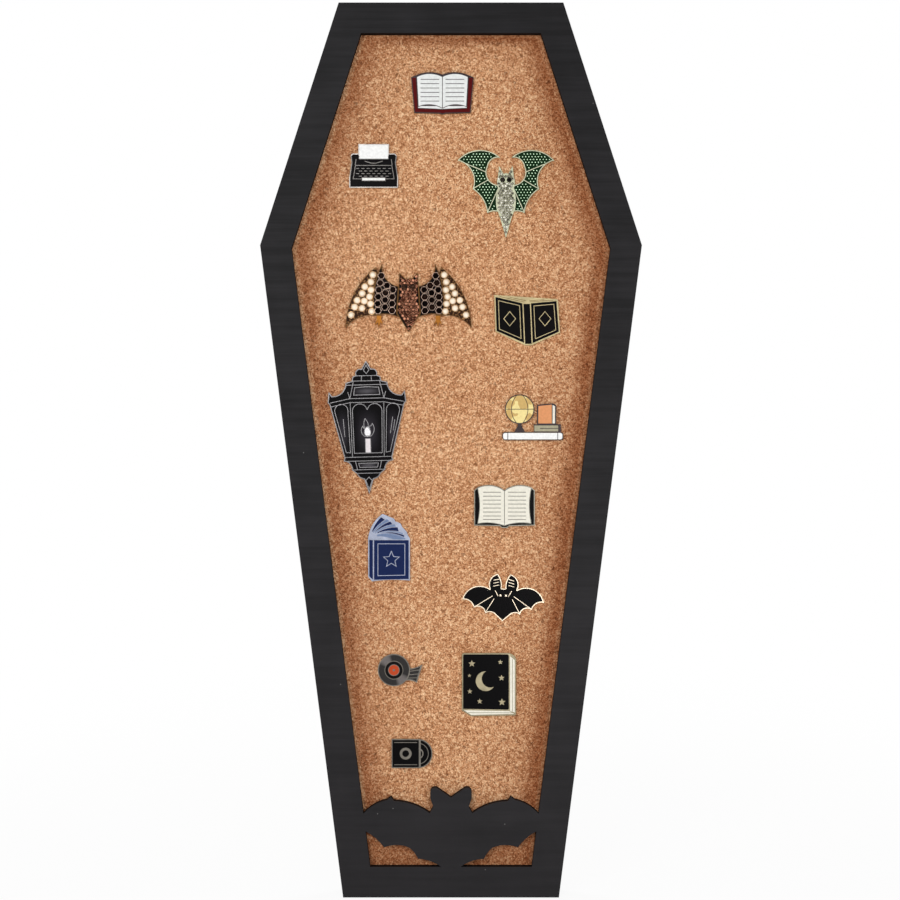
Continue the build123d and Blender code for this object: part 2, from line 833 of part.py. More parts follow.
def globe_disc(inset):
    """The round face of the globe on the plank, drawn in by an inset."""
    return disc(-6.6, 3.4, 7.4 - inset)


def make_shelf():
    """A globe and two books on a plank."""
    plank = RectangleRounded(30.8, 4.2, 1.6)
    plank = Pos(0, -10.2) * plank
    ball = globe_disc(0)
    stand = outline([(-9.4, -8.4), (-3.8, -8.4), (-5.6, -5.0), (-5.6, 0), (-7.6, 0), (-7.6, -5.0)])
    upright = outline([(2.2, -4.4), (2.2, 5.6), (10.2, 6.4), (11.8, 5.4), (11.8, -4.4)])
    lying = outline([(0.6, -8.4), (0.6, -4.2), (14.2, -4.2), (14.2, -8.4)])
    plate = plank + ball + stand + upright + lying
    # Two curved lines and a level one cross the globe.
    meridians = ring(disc(-13.0, 3.4, 10.4 + LINE), LINE) + ring(disc(-0.2, 3.4, 10.4 + LINE), LINE)
    equator = block(-6.6, 3.4, 15, LINE)
    globe = globe_disc(RIM) - meridians - equator
    front_face = outline([(2.8, -3.8), (2.8, 5.0), (9.6, 5.7), (9.6, -3.8)])
    page_edge = outline([(10.0, -3.8), (10.0, 5.5), (11.2, 4.9), (11.2, -3.8)])
    lying_cover = block(6.8, -6.3, 12.0, 3.0) - block(8.2, -6.3, 9.2, LINE)
    plank_field = Pos(0, -10.2) * RectangleRounded(30.8 - 2 * RIM, 4.2 - 2 * RIM, 1.0)
    plank_ends = block(-12.6, -10.2, LINE, 4) + block(12.6, -10.2, LINE, 4)
    books = front_face + page_edge + lying_cover
    cells = {"shelf_enamel": globe + books + (plank_field - plank_ends)}
    make_pin("shelf", plate, cells, [(-6, -2), (6, -2)])


def make_white_book():
    """An open book with white pages and thin black cover edges."""
    plate = pair([
        (0, 8.2),
        ((6.8, 10.8), (13.6, 9.6)),
        (15.3, 8.2),
        (15.3, -9.6),
        (2.4, -9.9),
        (1.4, -10.8),
        (0, -10.8),
    ])
    page = [
        (LINE / 2, 7.7),
        ((6.8, 10.3), (13.3, 9.2)),
        ((12.4, 1.0), (13.3, -8.4)),
        ((6.6, -8.1), (LINE / 2, -9.4)),
    ]
    pages = pair(page)
    lines = page_lines(1.8, 10.8, [7.2, 5.2, 3.2, 1.2, -0.8, -2.8, -4.8, -6.6])
    edge = shrunk(plate, RIM) - grown(pages, LINE)
    cells = {"white_book_pages": pages - lines, "white_book_cover": edge}
    make_pin("white_book", plate, cells, [(-7, 0), (7, 0)])


def fan_point(distance, turn):
    """A point of the fan of pages, by its distance and turn about the hinge."""
    hinge = (-9.4, 5.9)
    # The pages stand up at the hinge and droop towards their tips.
    angle = radians(turn + FAN_DROOP * (FAN_MIDDLE - distance))
    return (hinge[0] + distance * cos(angle), hinge[1] + distance * sin(angle))


def fan_blade(near, reach, top, low):
    """One page of the fan, between two turns about the hinge."""
    middle = (near + reach) / 2
    return outline([
        fan_point(near, top),
        (fan_point(middle, top), fan_point(reach, top)),
        fan_point(reach, low),
        (fan_point(middle, low), fan_point(near, low)),
    ])


def make_blue_book():
    """A standing book whose pages fan out over its top."""
    plate = outline([
        (-10.6, 5.2),
        ((-8.3, 12.2), (-3.4, 17.6)),
        (-2.2, 17.2),
        (2.5, 15.2),
        (3.2, 13.8),
        (5.8, 12.8),
        (6.6, 11.0),
        (8.9, 8.6),
        (9.4, 7.0),
        (10.5, 5.2),
        (10.5, -16.0),
        ((0.5, -15.6), (-8.6, -16.4)),
        (-10.5, -14.2),
    ])
    # Each page of the fan: where it starts and ends, and its upper and lower turn
    leaves = [
        (2.6, 12.4, 48.0, 40.8),
        (3.0, 13.8, 30.8, 25.2),
        (5.0, 16.4, 14.4, 12.2),
        (3.4, 17.6, 7.0, -6.0),
    ]
    # The dark gap over each page, in the same way
    gaps = [
        (3.0, 11.4, 61.0, 49.2),
        (3.6, 12.8, 39.4, 32.0),
        (4.2, 14.6, 24.0, 15.6),
        (5.0, 17.0, 11.0, 8.0),
    ]
    pages = Sketch()
    shade = Sketch()
    for near, reach, top, low in leaves:
        pages += fan_blade(near, reach, top, low)
    # The lowest page ends above the cover.
    pages -= block(0, 0, 30, 9.5)
    for near, reach, top, low in gaps:
        shade += fan_blade(near, reach, top, low)
    shade -= grown(pages, FINE_LINE)
    cover = outline([(-7.6, 4.4), (9.9, 4.4), (9.9, -15.2), (-7.6, -15.6)])
    panel = outline([(-5.8, 2.7), (8.1, 2.7), (8.1, -13.4), (-5.8, -13.7)])
    badge = ring(star(1.15, -5.4, 4.6), LINE)
    spine = outline([(-10.0, 4.6), (-8.2, 4.4), (-8.2, -15.5), (-10.0, -13.9)])
    cells = {
        "blue_book_cover": cover - ring(panel, LINE) - badge + spine + shade,
        "blue_book_pages": pages,
    }
    make_pin("blue_book", plate, cells, [(0, 1), (0, -9)])


def make_little_bat():
    """A small black bat with tall striped ears."""
    half = [
        (0, 4.6),
        (1.0, 4.8),
        ((1.4, 8.8), (3.2, 12.0)),
        ((6.6, 9.6), (6.9, 4.2)),
        ((13.6, 5.4), (20.6, -1.6)),
        ((16.8, -2.4), (14.6, -5.6)),
        ((11.4, -5.0), (8.8, -8.2)),
        ((6.2, -7.4), (3.6, -8.6)),
        (0, -11.8),
    ]
    plate = pair(half)
    field = shrunk(plate, RIM)
    stripes = Sketch()
    for level in (9.4, 7.9, 6.4):
        stripes += strip_pair((2.4, level), (5.2, level - 0.7), LINE)
    bones = (
        strip_pair((5.4, 0.8), (14.2, -5.0), LINE)
        + strip_pair((4.6, -0.6), (8.6, -7.6), LINE)
        + strip_pair((4.2, 3.6), (2.6, 0.8), LINE)
    )
    eyes = disc(-1.4, 1.2, 0.5) + disc(1.4, 1.2, 0.5)
    cells = {"little_bat_enamel": field - stripes - bones - eyes}
    make_pin("little_bat", plate, cells, [(-5, -2), (5, -2)])


def make_record():
    """A record with a red label, and a short ribbon beside it."""
    middle = -3.2
    disc_radius = 8.1
    ribbon = outline([(0, 1.4), ((5.2, 0.8), (11.2, 2.8)), (8.4, -6.4), ((3.6, -5.2), (0, -6.6))])
    plate = disc(middle, 0, disc_radius) + ribbon
    grooves = disc(middle, 0, disc_radius - RIM) - disc(middle, 0, 4.7)
    band = disc(middle, 0, 4.4) - disc(middle, 0, 2.9)
    label = disc(middle, 0, 2.6) - disc(middle, 0, 0.6)
    spread = outline([(0, 0.8), ((5.2, 0.3), (10.2, 2.0)), (8.0, -5.6), ((3.6, -4.6), (0, -6.0))])
    bars = strip((4.4, -0.6), (10.4, 0.2), LINE) + strip((4.2, -2.4), (9.8, -1.8), LINE)
    bars += strip((3.6, -4.0), (9.2, -3.8), LINE)
    tail = spread - disc(middle, 0, disc_radius) - bars
    cells = {"record_enamel": grooves + band + tail + label}
    make_pin("record", plate, cells, [(-6.5, 0), (2.5, 0)])


def make_star_book():
    """A closed book with stars and a moon on its cover, its pages at the side and foot."""
    plate = outline([
        (-13.6, 14.8),
        ((-13.2, 15.6), (-12.2, 15.9)),
        (9.4, 15.9),
        ((12.2, 15.0), (13.7, 12.8)),
        (13.7, -14.4),
        ((13.5, -15.2), (12.6, -15.5)),
        (-9.0, -15.9),
        (-13.6, -13.0),
    ])
    cover = outline([
        (-13.0, 14.4),
        ((-12.7, 15.1), (-12.0, 15.3)),
        (9.2, 15.3),
        ((9.9, 15.0), (10.1, 14.3)),
        (10.1, -12.0),
        ((9.8, -12.5), (9.2, -12.6)),
        (-13.0, -12.2),
    ])
    motifs = Sketch()
    stars = [
        (-8.6, 10.6, 1.8),
        (5.8, 11.4, 1.3),
        (-4.6, -8.4, 1.4),
        (6.6, -8.8, 1.9),
        (-9.6, -3.4, 1.3),
        (6.4, 3.4, 1.6),
        (-9.8, 4.6, 1.0),
    ]
    for x, z, reach in stars:
        motifs += star(x, z, reach)
    moon = disc(-1.6, 1.8, 5.0) - disc(0.8, 3.0, 4.4)
    side = outline([(10.7, 14.4), (13.1, 12.4), (13.1, -14.0), (10.7, -13.4)])
    side -= strip((11.9, 13.0), (11.9, -14.0), FINE_LINE)
    foot = outline([(-12.6, -12.9), (10.2, -13.3), (12.8, -14.7), (-8.8, -15.3)])
    foot -= strip((-10.6, -14.1), (12.0, -14.2), FINE_LINE)
    cells = {"star_book_cover": cover - motifs - moon, "star_book_pages": side + foot}
    make_pin("star_book", plate, cells, [(-2, 8), (-2, -8)])


def make_sleeve():
    """A square sleeve with a record half out of it."""
    sleeve = block(-3.2, -0.4, 14.2, 14.6)
    middle = (3.0, -0.4)
    plate = sleeve + disc(middle[0], middle[1], 7.3)
    field = block(-3.2, -0.4, 14.2 - 2 * RIM, 14.6 - 2 * RIM)
    hub = disc(-3.2, -0.4, 3.0) - disc(-3.2, -0.4, 1.7)
    rules = block(-3.2, 5.2, 11.6, LINE) + block(-3.2, -6.0, 11.6, LINE)
    # The side on which the record stands out of the sleeve
    beyond = block(14, -0.4, 19.2, 20)
    showing = disc(middle[0], middle[1], 7.3 - RIM) & beyond
    label = (disc(middle[0], middle[1], 2.8) - disc(middle[0], middle[1], 2.2)) & beyond
    groove = disc(middle[0], middle[1], 5.4) - disc(middle[0], middle[1], 5.1)
    cells = {"sleeve_enamel": field - hub - rules + (showing - label - groove)}
    make_pin("sleeve", plate, cells, [(-6, -0.4), (2, -0.4)])


make_front_frame()
make_rails()
make_panels()
make_screws()
make_hanger()
make_bumpers()
make_red_book()
make_typewriter()
make_green_bat()
make_jewelled_bat()
make_black_book()
make_lantern()
make_shelf()
make_white_book()
make_blue_book()
make_little_bat()
make_record()
make_star_book()
make_sleeve()

os.makedirs("parts", exist_ok=True)
for name, shape in parts.items():
    export_step(shape, "parts/" + name + ".step")
print(len(parts), "nodes")
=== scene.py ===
import math
import random

import bmesh
import bpy
from bpy.props import FloatProperty, FloatVectorProperty, IntProperty, PointerProperty
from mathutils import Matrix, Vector
from mathutils.bvhtree import BVHTree


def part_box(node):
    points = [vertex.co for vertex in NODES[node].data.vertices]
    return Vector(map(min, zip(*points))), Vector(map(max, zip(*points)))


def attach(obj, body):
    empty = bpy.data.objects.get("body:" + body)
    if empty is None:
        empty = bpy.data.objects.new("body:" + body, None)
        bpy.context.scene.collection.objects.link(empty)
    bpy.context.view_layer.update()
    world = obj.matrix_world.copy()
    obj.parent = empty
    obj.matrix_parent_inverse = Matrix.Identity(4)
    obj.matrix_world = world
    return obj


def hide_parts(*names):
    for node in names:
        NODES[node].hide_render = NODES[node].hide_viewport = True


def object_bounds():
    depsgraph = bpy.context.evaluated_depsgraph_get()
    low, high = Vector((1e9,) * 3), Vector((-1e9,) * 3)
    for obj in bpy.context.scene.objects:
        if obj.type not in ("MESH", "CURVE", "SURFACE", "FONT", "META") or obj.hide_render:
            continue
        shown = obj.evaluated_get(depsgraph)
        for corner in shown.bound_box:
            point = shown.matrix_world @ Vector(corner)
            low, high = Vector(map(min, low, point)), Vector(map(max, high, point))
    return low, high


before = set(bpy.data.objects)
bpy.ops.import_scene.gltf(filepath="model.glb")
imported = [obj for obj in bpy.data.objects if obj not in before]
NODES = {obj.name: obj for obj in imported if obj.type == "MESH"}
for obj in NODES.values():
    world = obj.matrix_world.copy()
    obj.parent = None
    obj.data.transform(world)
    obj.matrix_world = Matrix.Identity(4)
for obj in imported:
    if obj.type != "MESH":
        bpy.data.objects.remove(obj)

# Finishes and fine details for a coffin-shaped cork pin board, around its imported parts.
# Everything is in metres, +Z up, and the front of the board looks along -Y.

bl_info = {
    "name": "Cork Pin Board",
    "version": (1, 0, 0),
    "blender": (4, 5, 0),
    "location": "3D View > Sidebar > Pin Board",
    "description": "Paints a cork pin board and sets the stones and beads of its pins",
    "category": "Object",
}

PACKED_BOX = [list(corner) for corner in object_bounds()]
MM = 0.001

# The opening in the front, in millimetres. Its top is as high as its foot is low, and each of its
# sides has half the width at mid-height and what that loses for each millimetre up.
OPENING_TOP = 209.6
UPPER_SIDE = (113.2, 0.3238)
LOWER_SIDE = (67.5, -0.1237)

# Middle of each pin's posts, in millimetres from the pin's own middle
POSTS_MIDDLE = {
    "red_book": (0, 0),
    "typewriter": (0, 0),
    "green_bat": (0, -1),
    "jewelled_bat": (0, 0),
    "black_book": (0, -1),
    "lantern": (0, -0.25),
    "shelf": (0, -2),
    "white_book": (0, 0),
    "blue_book": (0, -4),
    "little_bat": (0, -2),
    "record": (-2, 0),
    "star_book": (-2, 0),
    "sleeve": (-2, -0.4),
}


def screen(red, green, blue):
    """A colour from its three values on a screen, 0 to 255."""
    def light(value):
        share = value / 255
        return share / 12.92 if share <= 0.04045 else ((share + 0.055) / 1.055) ** 2.4
    return (light(red), light(green), light(blue), 1.0)


def opaque(colour):
    """A colour's first three values, with a full fourth one."""
    return (*colour[:3], 1)


class Signal:
    """An output of a finish's nodes. Maths on it is written as plain expressions."""

    def __init__(self, finish, socket):
        self.finish = finish
        self.socket = socket

    def maths(self, operation, *values):
        return self.finish.node("ShaderNodeMath", {"operation": operation}, dict(enumerate(values)))

    def __add__(self, other):
        return self.maths("ADD", self, other)

    def __radd__(self, other):
        return self.maths("ADD", other, self)

    def __sub__(self, other):
        return self.maths("SUBTRACT", self, other)

    def __rsub__(self, other):
        return self.maths("SUBTRACT", other, self)

    def __mul__(self, other):
        return self.maths("MULTIPLY", self, other)

    def __rmul__(self, other):
        return self.maths("MULTIPLY", other, self)

    def __truediv__(self, other):
        return self.maths("DIVIDE", self, other)

    def __pow__(self, other):
        return self.maths("POWER", self, other)

    def __lt__(self, other):
        return self.maths("LESS_THAN", self, other)

    def __gt__(self, other):
        return self.maths("GREATER_THAN", self, other)

    def __abs__(self):
        return self.maths("ABSOLUTE", self)

    def least(self, other):
        return self.maths("MINIMUM", self, other)

    def most(self, other):
        return self.maths("MAXIMUM", self, other)


class Finish:
    """The nodes of a material, or of the world."""

    def __init__(self, owner):
        owner.use_nodes = True
        self.owner = owner
        self.tree = owner.node_tree
        self.tree.nodes.clear()

    def node(self, kind, settings=None, sockets=None, output=0):
        """A node of a kind. Its settings are made first, then its sockets are filled or linked."""
        made = self.tree.nodes.new(kind)
        for name, value in (settings or {}).items():
            if name == "stops":
                elements = made.color_ramp.elements
                while len(elements) < len(value):
                    elements.new(1)
                for element, (place, colour) in zip(elements, value):
                    element.position = place
                    element.color = colour
            else:
                setattr(made, name, value)
        for key, value in (sockets or {}).items():
            if isinstance(value, Signal):
                self.tree.links.new(value.socket, made.inputs[key])
            else:
                made.inputs[key].default_value = value
        return Signal(self, made.outputs[output]) if len(made.outputs) else None

    def place(self):
        """Where a point of the piece is, in millimetres. It moves with the piece."""
        spot = self.node("ShaderNodeTexCoord", output="Object")
        return self.node("ShaderNodeVectorMath", {"operation": "SCALE"}, {0: spot, "Scale": 1 / MM})

    def across(self, vector):
        """The three numbers of a vector."""
        return [self.node("ShaderNodeSeparateXYZ", {}, {0: vector}, output) for output in "XYZ"]

    def noise(self, vector, size, detail=2.0, roughness=0.5, output="Fac"):
        """Soft noise with blotches of a size in millimetres."""
        sockets = {"Vector": vector, "Scale": 1 / size, "Detail": detail, "Roughness": roughness}
        return self.node("ShaderNodeTexNoise", {}, sockets, output)

    def cells(self, vector, size, output="Color", feature="F1"):
        """Random cells of a size in millimetres."""
        sockets = {"Vector": vector, "Scale": 1 / size}
        return self.node("ShaderNodeTexVoronoi", {"feature": feature}, sockets, output)

    def shaken(self, vector, size, reach):
        """The same places pushed about by noise, up to a reach in millimetres."""
        push = self.noise(vector, size, output="Color")
        push = self.node("ShaderNodeVectorMath", {"operation": "SUBTRACT"}, {0: push, 1: (0.5,) * 3})
        push = self.node("ShaderNodeVectorMath", {"operation": "SCALE"}, {0: push, "Scale": 2 * reach})
        return self.node("ShaderNodeVectorMath", {"operation": "ADD"}, {0: vector, 1: push})

    def drawn_out(self, vector, turn, length, width):
        """Places squeezed so that noise on them runs out along a direction in the board's plane."""
        settings = {"vector_type": "TEXTURE"}
        sockets = {"Vector": vector, "Rotation": (0, turn, 0), "Scale": (length, width, width)}
        return self.node("ShaderNodeMapping", settings, sockets)

    def part(self, colour, output):
        """One of the three numbers of a colour: Red, Green or Blue."""
        return self.node("ShaderNodeSeparateColor", {}, {0: colour}, output)

    def ease(self, value, low, high):
        """A smooth step from 0 at low to 1 at high."""
        settings = {"interpolation_type": "SMOOTHSTEP"}
        return self.node("ShaderNodeMapRange", settings, {0: value, 1: low, 2: high})

    def blend(self, factor, first, second, way="MIX"):
        """A mix of two colours."""
        settings = {"data_type": "RGBA", "blend_type": way, "clamp_result": True}
        return self.node("ShaderNodeMix", settings, {0: factor, 6: first, 7: second}, 2)

    def times(self, first, second):
        """Two colours multiplied."""
        return self.blend(1.0, first, second, "MULTIPLY")

    def shades(self, value, *stops):
        """Colours along a value, from places and colours."""
        return self.node("ShaderNodeValToRGB", {"stops": stops}, {0: value})

    def surface(self, colour, roughness, relief=None, metallic=0.0, gloss=0.5, coat=0.0):
        """The shader. Relief is a height in millimetres."""
        sockets = {
            "Base Color": colour,
            "Roughness": roughness,
            "Metallic": metallic,
            "Specular IOR Level": gloss,
            "Coat Weight": coat,
            "Coat Roughness": 0.06,
        }
        if relief is not None:
            sockets["Normal"] = self.node("ShaderNodeBump", {}, {"Height": relief, "Distance": MM})
        shader = self.node("ShaderNodeBsdfPrincipled", {}, sockets)
        self.node("ShaderNodeOutputMaterial", {}, {"Surface": shader})
        return self.owner


def new_finish(name):
    return Finish(bpy.data.materials.new(name))


def dress(material, *names):
    """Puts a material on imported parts."""
    for name in names:
        thing = NODES[name]
        if not thing.material_slots:
            thing.data.materials.append(material)
        for slot in thing.material_slots:
            slot.material = material


def black_paint(name, settings, turn, face=None):
    """Satin black paint over wood, with a faint grain, brush lines and a few specks of dust.

    The front also has the dark edge that cutting leaves round its opening. For it, the face is the
    place of its surface along Y, in millimetres.
    """
    f = new_finish(name)
    at = f.place()
    grain = f.noise(f.drawn_out(at, turn, 60, 3.4), 1, 4, 0.6)
    brush = f.noise(f.drawn_out(at, turn, 60, 0.6), 1, 2)
    cloud = f.noise(at, 26, 3)
    fine = f.noise(at, 0.5, 2)
    tone = 0.45 * grain + 0.12 * brush + 0.33 * cloud + 0.1 * fine
    dark = Vector(settings.paint_colour) * 0.5
    light = Vector(settings.paint_colour) * 1.65
    colour = f.blend(f.ease(tone, 0.32, 0.68), opaque(dark), opaque(light))
    # Painted light: the paint is made lighter towards the foot, in cloudy patches.
    painted_foot_light = 1 - f.ease(f.across(at)[2], -230, 60)
    colour = f.blend(painted_foot_light * (0.3 + 0.3 * cloud), colour, screen(44, 42, 44))
    spacing = 9
    dust = f.cells(f.shaken(at, 1.5, 0.2), spacing, "Distance")
    chosen = f.part(f.cells(at, spacing), "Red") > 0.7
    speck = (1 - f.ease(dust, 0.016, 0.042)) * chosen
    colour = f.blend(speck * 0.45, colour, screen(150, 148, 146))
    relief = 0.05 * grain + 0.02 * brush + 0.012 * fine + 0.02 * speck
    roughness = settings.paint_roughness - 0.12 * brush + 0.12 * fine
    if face is not None:
        # Farther out than the middle of the border lies the outer edge, which is painted.
        inside, above_foot = inside_opening(f, at)
        by_opening = f.ease(inside.least(above_foot), -9, -6)
        edge = f.ease(f.across(at)[1] - face, 0.1, 0.5) * by_opening
        colour = f.blend(edge, colour, f.blend(grain, screen(6, 3, 2), screen(20, 11, 8)))
        roughness = roughness + 0.3 * edge
    return f.surface(colour, roughness, relief, gloss=0.1)


def inside_opening(f, at):
    """How far a point lies inside the opening's sides and top, and how far over its foot."""
    x, _, z = f.across(at)
    aside = abs(x)
    upper, lower = [
        (half - slope * z - aside) / math.hypot(1, slope) for half, slope in (UPPER_SIDE, LOWER_SIDE)
    ]
    # The top counts double, because the painted shade is half as wide under it as along the sides.
    return upper.least(lower).least(2 * (OPENING_TOP - z)), OPENING_TOP + z


def painted_wall_shade(f, at, settings):
    """How much painted shade darkens the cork near the opening's edges and over its foot, from 0 to 1.

    It stands in for the shade in the recess under the frame. It is deeper on the right, and leaves a pale
    line beside the left wall.
    """
    inside, above_foot = inside_opening(f, at)
    right = f.ease(f.across(at)[0], -20, 20)
    reach = settings.shade_reach / MM
    wander = inside * (0.92 + 0.16 * right) + 6 * (f.noise(at, 15, 2) - 0.5)
    painted_shade = (0.6 + 0.18 * right) * (1 - f.ease(wander, 0.17 * reach, reach))
    painted_shade = painted_shade + 0.27 * (1 - f.ease(inside, 0.5 * reach, 2.6 * reach))
    opening_height = 2 * OPENING_TOP
    near_top = f.ease(above_foot, opening_height - 12.2, opening_height - 4.2)
    beside_wall = (0.1 + 0.62 * right).most(near_top * 0.7)
    painted_shade = painted_shade * beside_wall.most(f.ease(inside, 0, 3.5))
    # Painted shade also darkens the cork just over the opening's foot.
    near_foot = (1 - f.ease(above_foot, 18, 36)) * 0.8
    return painted_shade.most(near_foot) * settings.edge_shade


def cork(settings):
    """Pressed cork: fine granules of many browns, dark bark specks and pale chips."""
    f = new_finish("pressed_cork")
    at = f.place()
    size = settings.granule / MM
    bent = f.shaken(at, 1.1 * size, 0.4 * size)
    large = f.cells(bent, size)
    small = f.cells(f.shaken(at, 0.6 * size, 0.25 * size), 0.55 * size)
    seam = f.cells(bent, size, "Distance", "DISTANCE_TO_EDGE")
    fine = f.noise(at, 0.4 * size, 3, 0.6)
    flecks = f.noise(f.drawn_out(at, 0.5, 1.6, 0.7), 0.34 * size, 2)
    cloud = f.noise(at, 30, 3)
    tone = 0.2 * f.part(large, "Red") + 0.34 * f.part(small, "Green") + 0.62 * fine + 0.5 * flecks
    tone = tone + 0.12 * cloud - 0.4
    colour = f.shades(
        f.ease(tone, 0.1, 0.9),
        (0.0, opaque(settings.dark_cork)),
        (0.5, opaque(settings.mid_cork)),
        (1.0, opaque(settings.pale_cork)),
    )
    bark = (f.part(large, "Blue") < 0.012).most(f.part(small, "Blue") < 0.022)
    colour = f.blend(bark * f.ease(fine, 0.3, 0.6) * 0.75, colour, opaque(settings.bark))
    crack = 1 - f.ease(seam, 0.0, 0.1)
    colour = f.blend(crack * 0.3, colour, opaque(settings.bark))
    # Painted shade: the cork darkens towards the frame's walls, standing in for the shade in the recess.
    shaded_colour = f.times(colour, (0.50, 0.342, 0.265, 1))
    colour = f.blend(painted_wall_shade(f, at, settings), colour, shaded_colour)
    relief = 0.08 * f.part(large, "Green") + 0.06 * f.part(small, "Red") + 0.12 * fine
    relief = relief - 0.06 * crack
    return f.surface(colour, 0.82 + 0.12 * fine, relief, gloss=0.14)


def hardboard():
    """Brown hardboard with pressed fibres, for the back."""
    f = new_finish("brown_hardboard")
    at = f.place()
    fibres = f.noise(f.drawn_out(f.shaken(at, 6, 1.6), 0.3, 5.5, 0.4), 1, 3, 0.6)
    crossed = f.noise(f.drawn_out(f.shaken(at, 5, 1.4), -0.9, 4.5, 0.4), 1, 3, 0.6)
    cloud = f.noise(at, 30, 3)
    fine = f.noise(at, 0.5, 2)
    tone = 0.38 * fibres + 0.38 * crossed + 0.24 * cloud
    colour = f.shades(
        f.ease(tone, 0.3, 0.7),
        (0.0, screen(88, 60, 38)),
        (0.5, screen(124, 89, 59)),
        (1.0, screen(156, 118, 83)),
    )
    relief = 0.06 * fibres + 0.06 * crossed + 0.02 * fine
    return f.surface(colour, 0.78 + 0.15 * fine, relief, gloss=0.25)


def zinc():
    """Zinc-plated steel with a dull spangle and long rubbed scratches."""
    f = new_finish("zinc_steel")
    at = f.place()
    spangle = f.part(f.cells(f.shaken(at, 1.2, 0.4), 1.8), "Red")
    scratch = f.noise(f.drawn_out(at, 0, 12, 0.12), 1, 2)
    tone = f.ease(0.4 * spangle + 0.6 * scratch, 0.25, 0.75)
    colour = f.blend(tone, screen(146, 148, 152), screen(202, 203, 205))
    return f.surface(colour, 0.3 + 0.18 * spangle + 0.1 * scratch, 0.012 * scratch, metallic=1.0)


def rubber():
    """Matt black rubber with a fine moulded skin."""
    f = new_finish("black_rubber")
    at = f.place()
    fine = f.noise(at, 0.22, 2)
    cloud = f.noise(at, 2.5, 2)
    colour = f.blend(f.ease(cloud, 0.3, 0.7), screen(24, 24, 25), screen(40, 39, 40))
    return f.surface(colour, 0.72 + 0.16 * fine, 0.02 * fine, gloss=0.3)


def plated_surface(f, at, colour, roughness=0.3):
    """Plated metal with a soft polish, faint clouds and fine scratches."""
    cloud = f.noise(at, 3.4, 3)
    scratch = f.noise(f.drawn_out(at, 0.7, 6, 0.09), 1, 2)
    tone = f.ease(0.7 * cloud + 0.3 * scratch, 0.32, 0.68)
    shade = f.blend(tone, (0.72, 0.72, 0.72, 1), (1, 1, 1, 1))
    return f.surface(
        f.times(colour, shade), roughness + 0.14 * (scratch - 0.5), 0.006 * scratch, metallic=1.0)


def plated(name, colour, roughness=0.3):
    """One colour of plated metal."""
    f = new_finish(name)
    return plated_surface(f, f.place(), opaque(colour), roughness)


def enamel_surface(f, at, colour):
    """Hard glossy enamel with a slight orange-peel skin, over a colour that may vary."""
    skin = f.noise(at, 1.1, 2)
    dust = f.noise(at, 0.16, 2)
    colour = f.blend(0.1 * f.ease(skin, 0.3, 0.7), colour, (0, 0, 0, 1))
    return f.surface(colour, 0.17 + 0.14 * dust, 0.02 * skin + 0.002 * dust, gloss=0.04)


def enamel(name, colour):
    """One colour of enamel."""
    f = new_finish(name)
    return enamel_surface(f, f.place(), opaque(colour))


def pin_middle(pin):
    """A pin's own middle, in millimetres, from the middle of its posts."""
    low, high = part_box(pin + "_posts")
    middle = (low + high) / 2 / MM
    across, up = POSTS_MIDDLE[pin]
    return middle.x - across, middle.z - up


class Patches:
    """Places on a pin, for a part that has more than one colour. A pin may lean to the left."""

    def __init__(self, pin, finish="enamels", lean=0.0):
        self.finish = new_finish(pin + "_" + finish)
        self.at = self.finish.place()
        x, _, z = self.finish.across(self.at)
        middle = pin_middle(pin)
        u = x - middle[0]
        v = z - middle[1]
        turn = math.radians(lean)
        self.u = math.cos(turn) * u + math.sin(turn) * v if lean else u
        self.v = math.cos(turn) * v - math.sin(turn) * u if lean else v

    def block(self, u, v, width, height):
        return (abs(self.u - u) < width / 2) * (abs(self.v - v) < height / 2)

    def disc(self, u, v, radius):
        return ((self.u - u) ** 2 + (self.v - v) ** 2) < radius ** 2

    def pair(self, u, v, radius):
        """Two discs, one on each side."""
        return ((abs(self.u) - u) ** 2 + (self.v - v) ** 2) < radius ** 2

    def glow(self, value, middle, reach):
        """A soft bump of 1 at a middle, which ends at a reach."""
        return self.finish.ease(1 - abs(value - middle) / reach, 0, 1)

    def mixed(self, ground, *patches):
        """The ground colour with a colour over each patch."""
        colour = opaque(ground)
        for patch, paint in patches:
            colour = self.finish.blend(patch, colour, opaque(paint))
        return colour

    def painted(self, ground, *patches):
        return enamel_surface(self.finish, self.at, self.mixed(ground, *patches))


def painted_facet_light(f):
    """The painted light and shade of each facet, as a tone kept in the mesh."""
    return f.node("ShaderNodeAttribute", {"attribute_name": "tone"}, output="Fac")


def stone_colour(f, dark, middle, pale):
    """Cut glass over foil, with painted glints and shade from each facet's tone, and a faint cloud in it.
    """
    tone = painted_facet_light(f)
    cloud = f.noise(f.place(), 0.5, 2)
    return f.shades(tone + 0.3 * (cloud - 0.5), (0.12, dark), (0.55, middle), (0.92, pale)), cloud


def stone_finish(name, dark, middle, pale, roughness=0.08, gloss=0.5):
    """Cut glass of one colour."""
    f = new_finish(name)
    colour, cloud = stone_colour(f, dark, middle, pale)
    return f.surface(colour, roughness + 0.06 * cloud, gloss=gloss, coat=0.6 * gloss)


def pearl_finish(name, pale, shadow):
    """Milky opal glass, with painted shade that darkens it round its rim."""
    f = new_finish(name)
    cloud = f.noise(f.place(), 0.9, 2)
    colour = f.blend(f.ease(painted_facet_light(f) + 0.4 * (cloud - 0.5), 0.0, 0.7), shadow, pale)
    return f.surface(colour, 0.12 + 0.06 * cloud, gloss=0.3, coat=0.2)


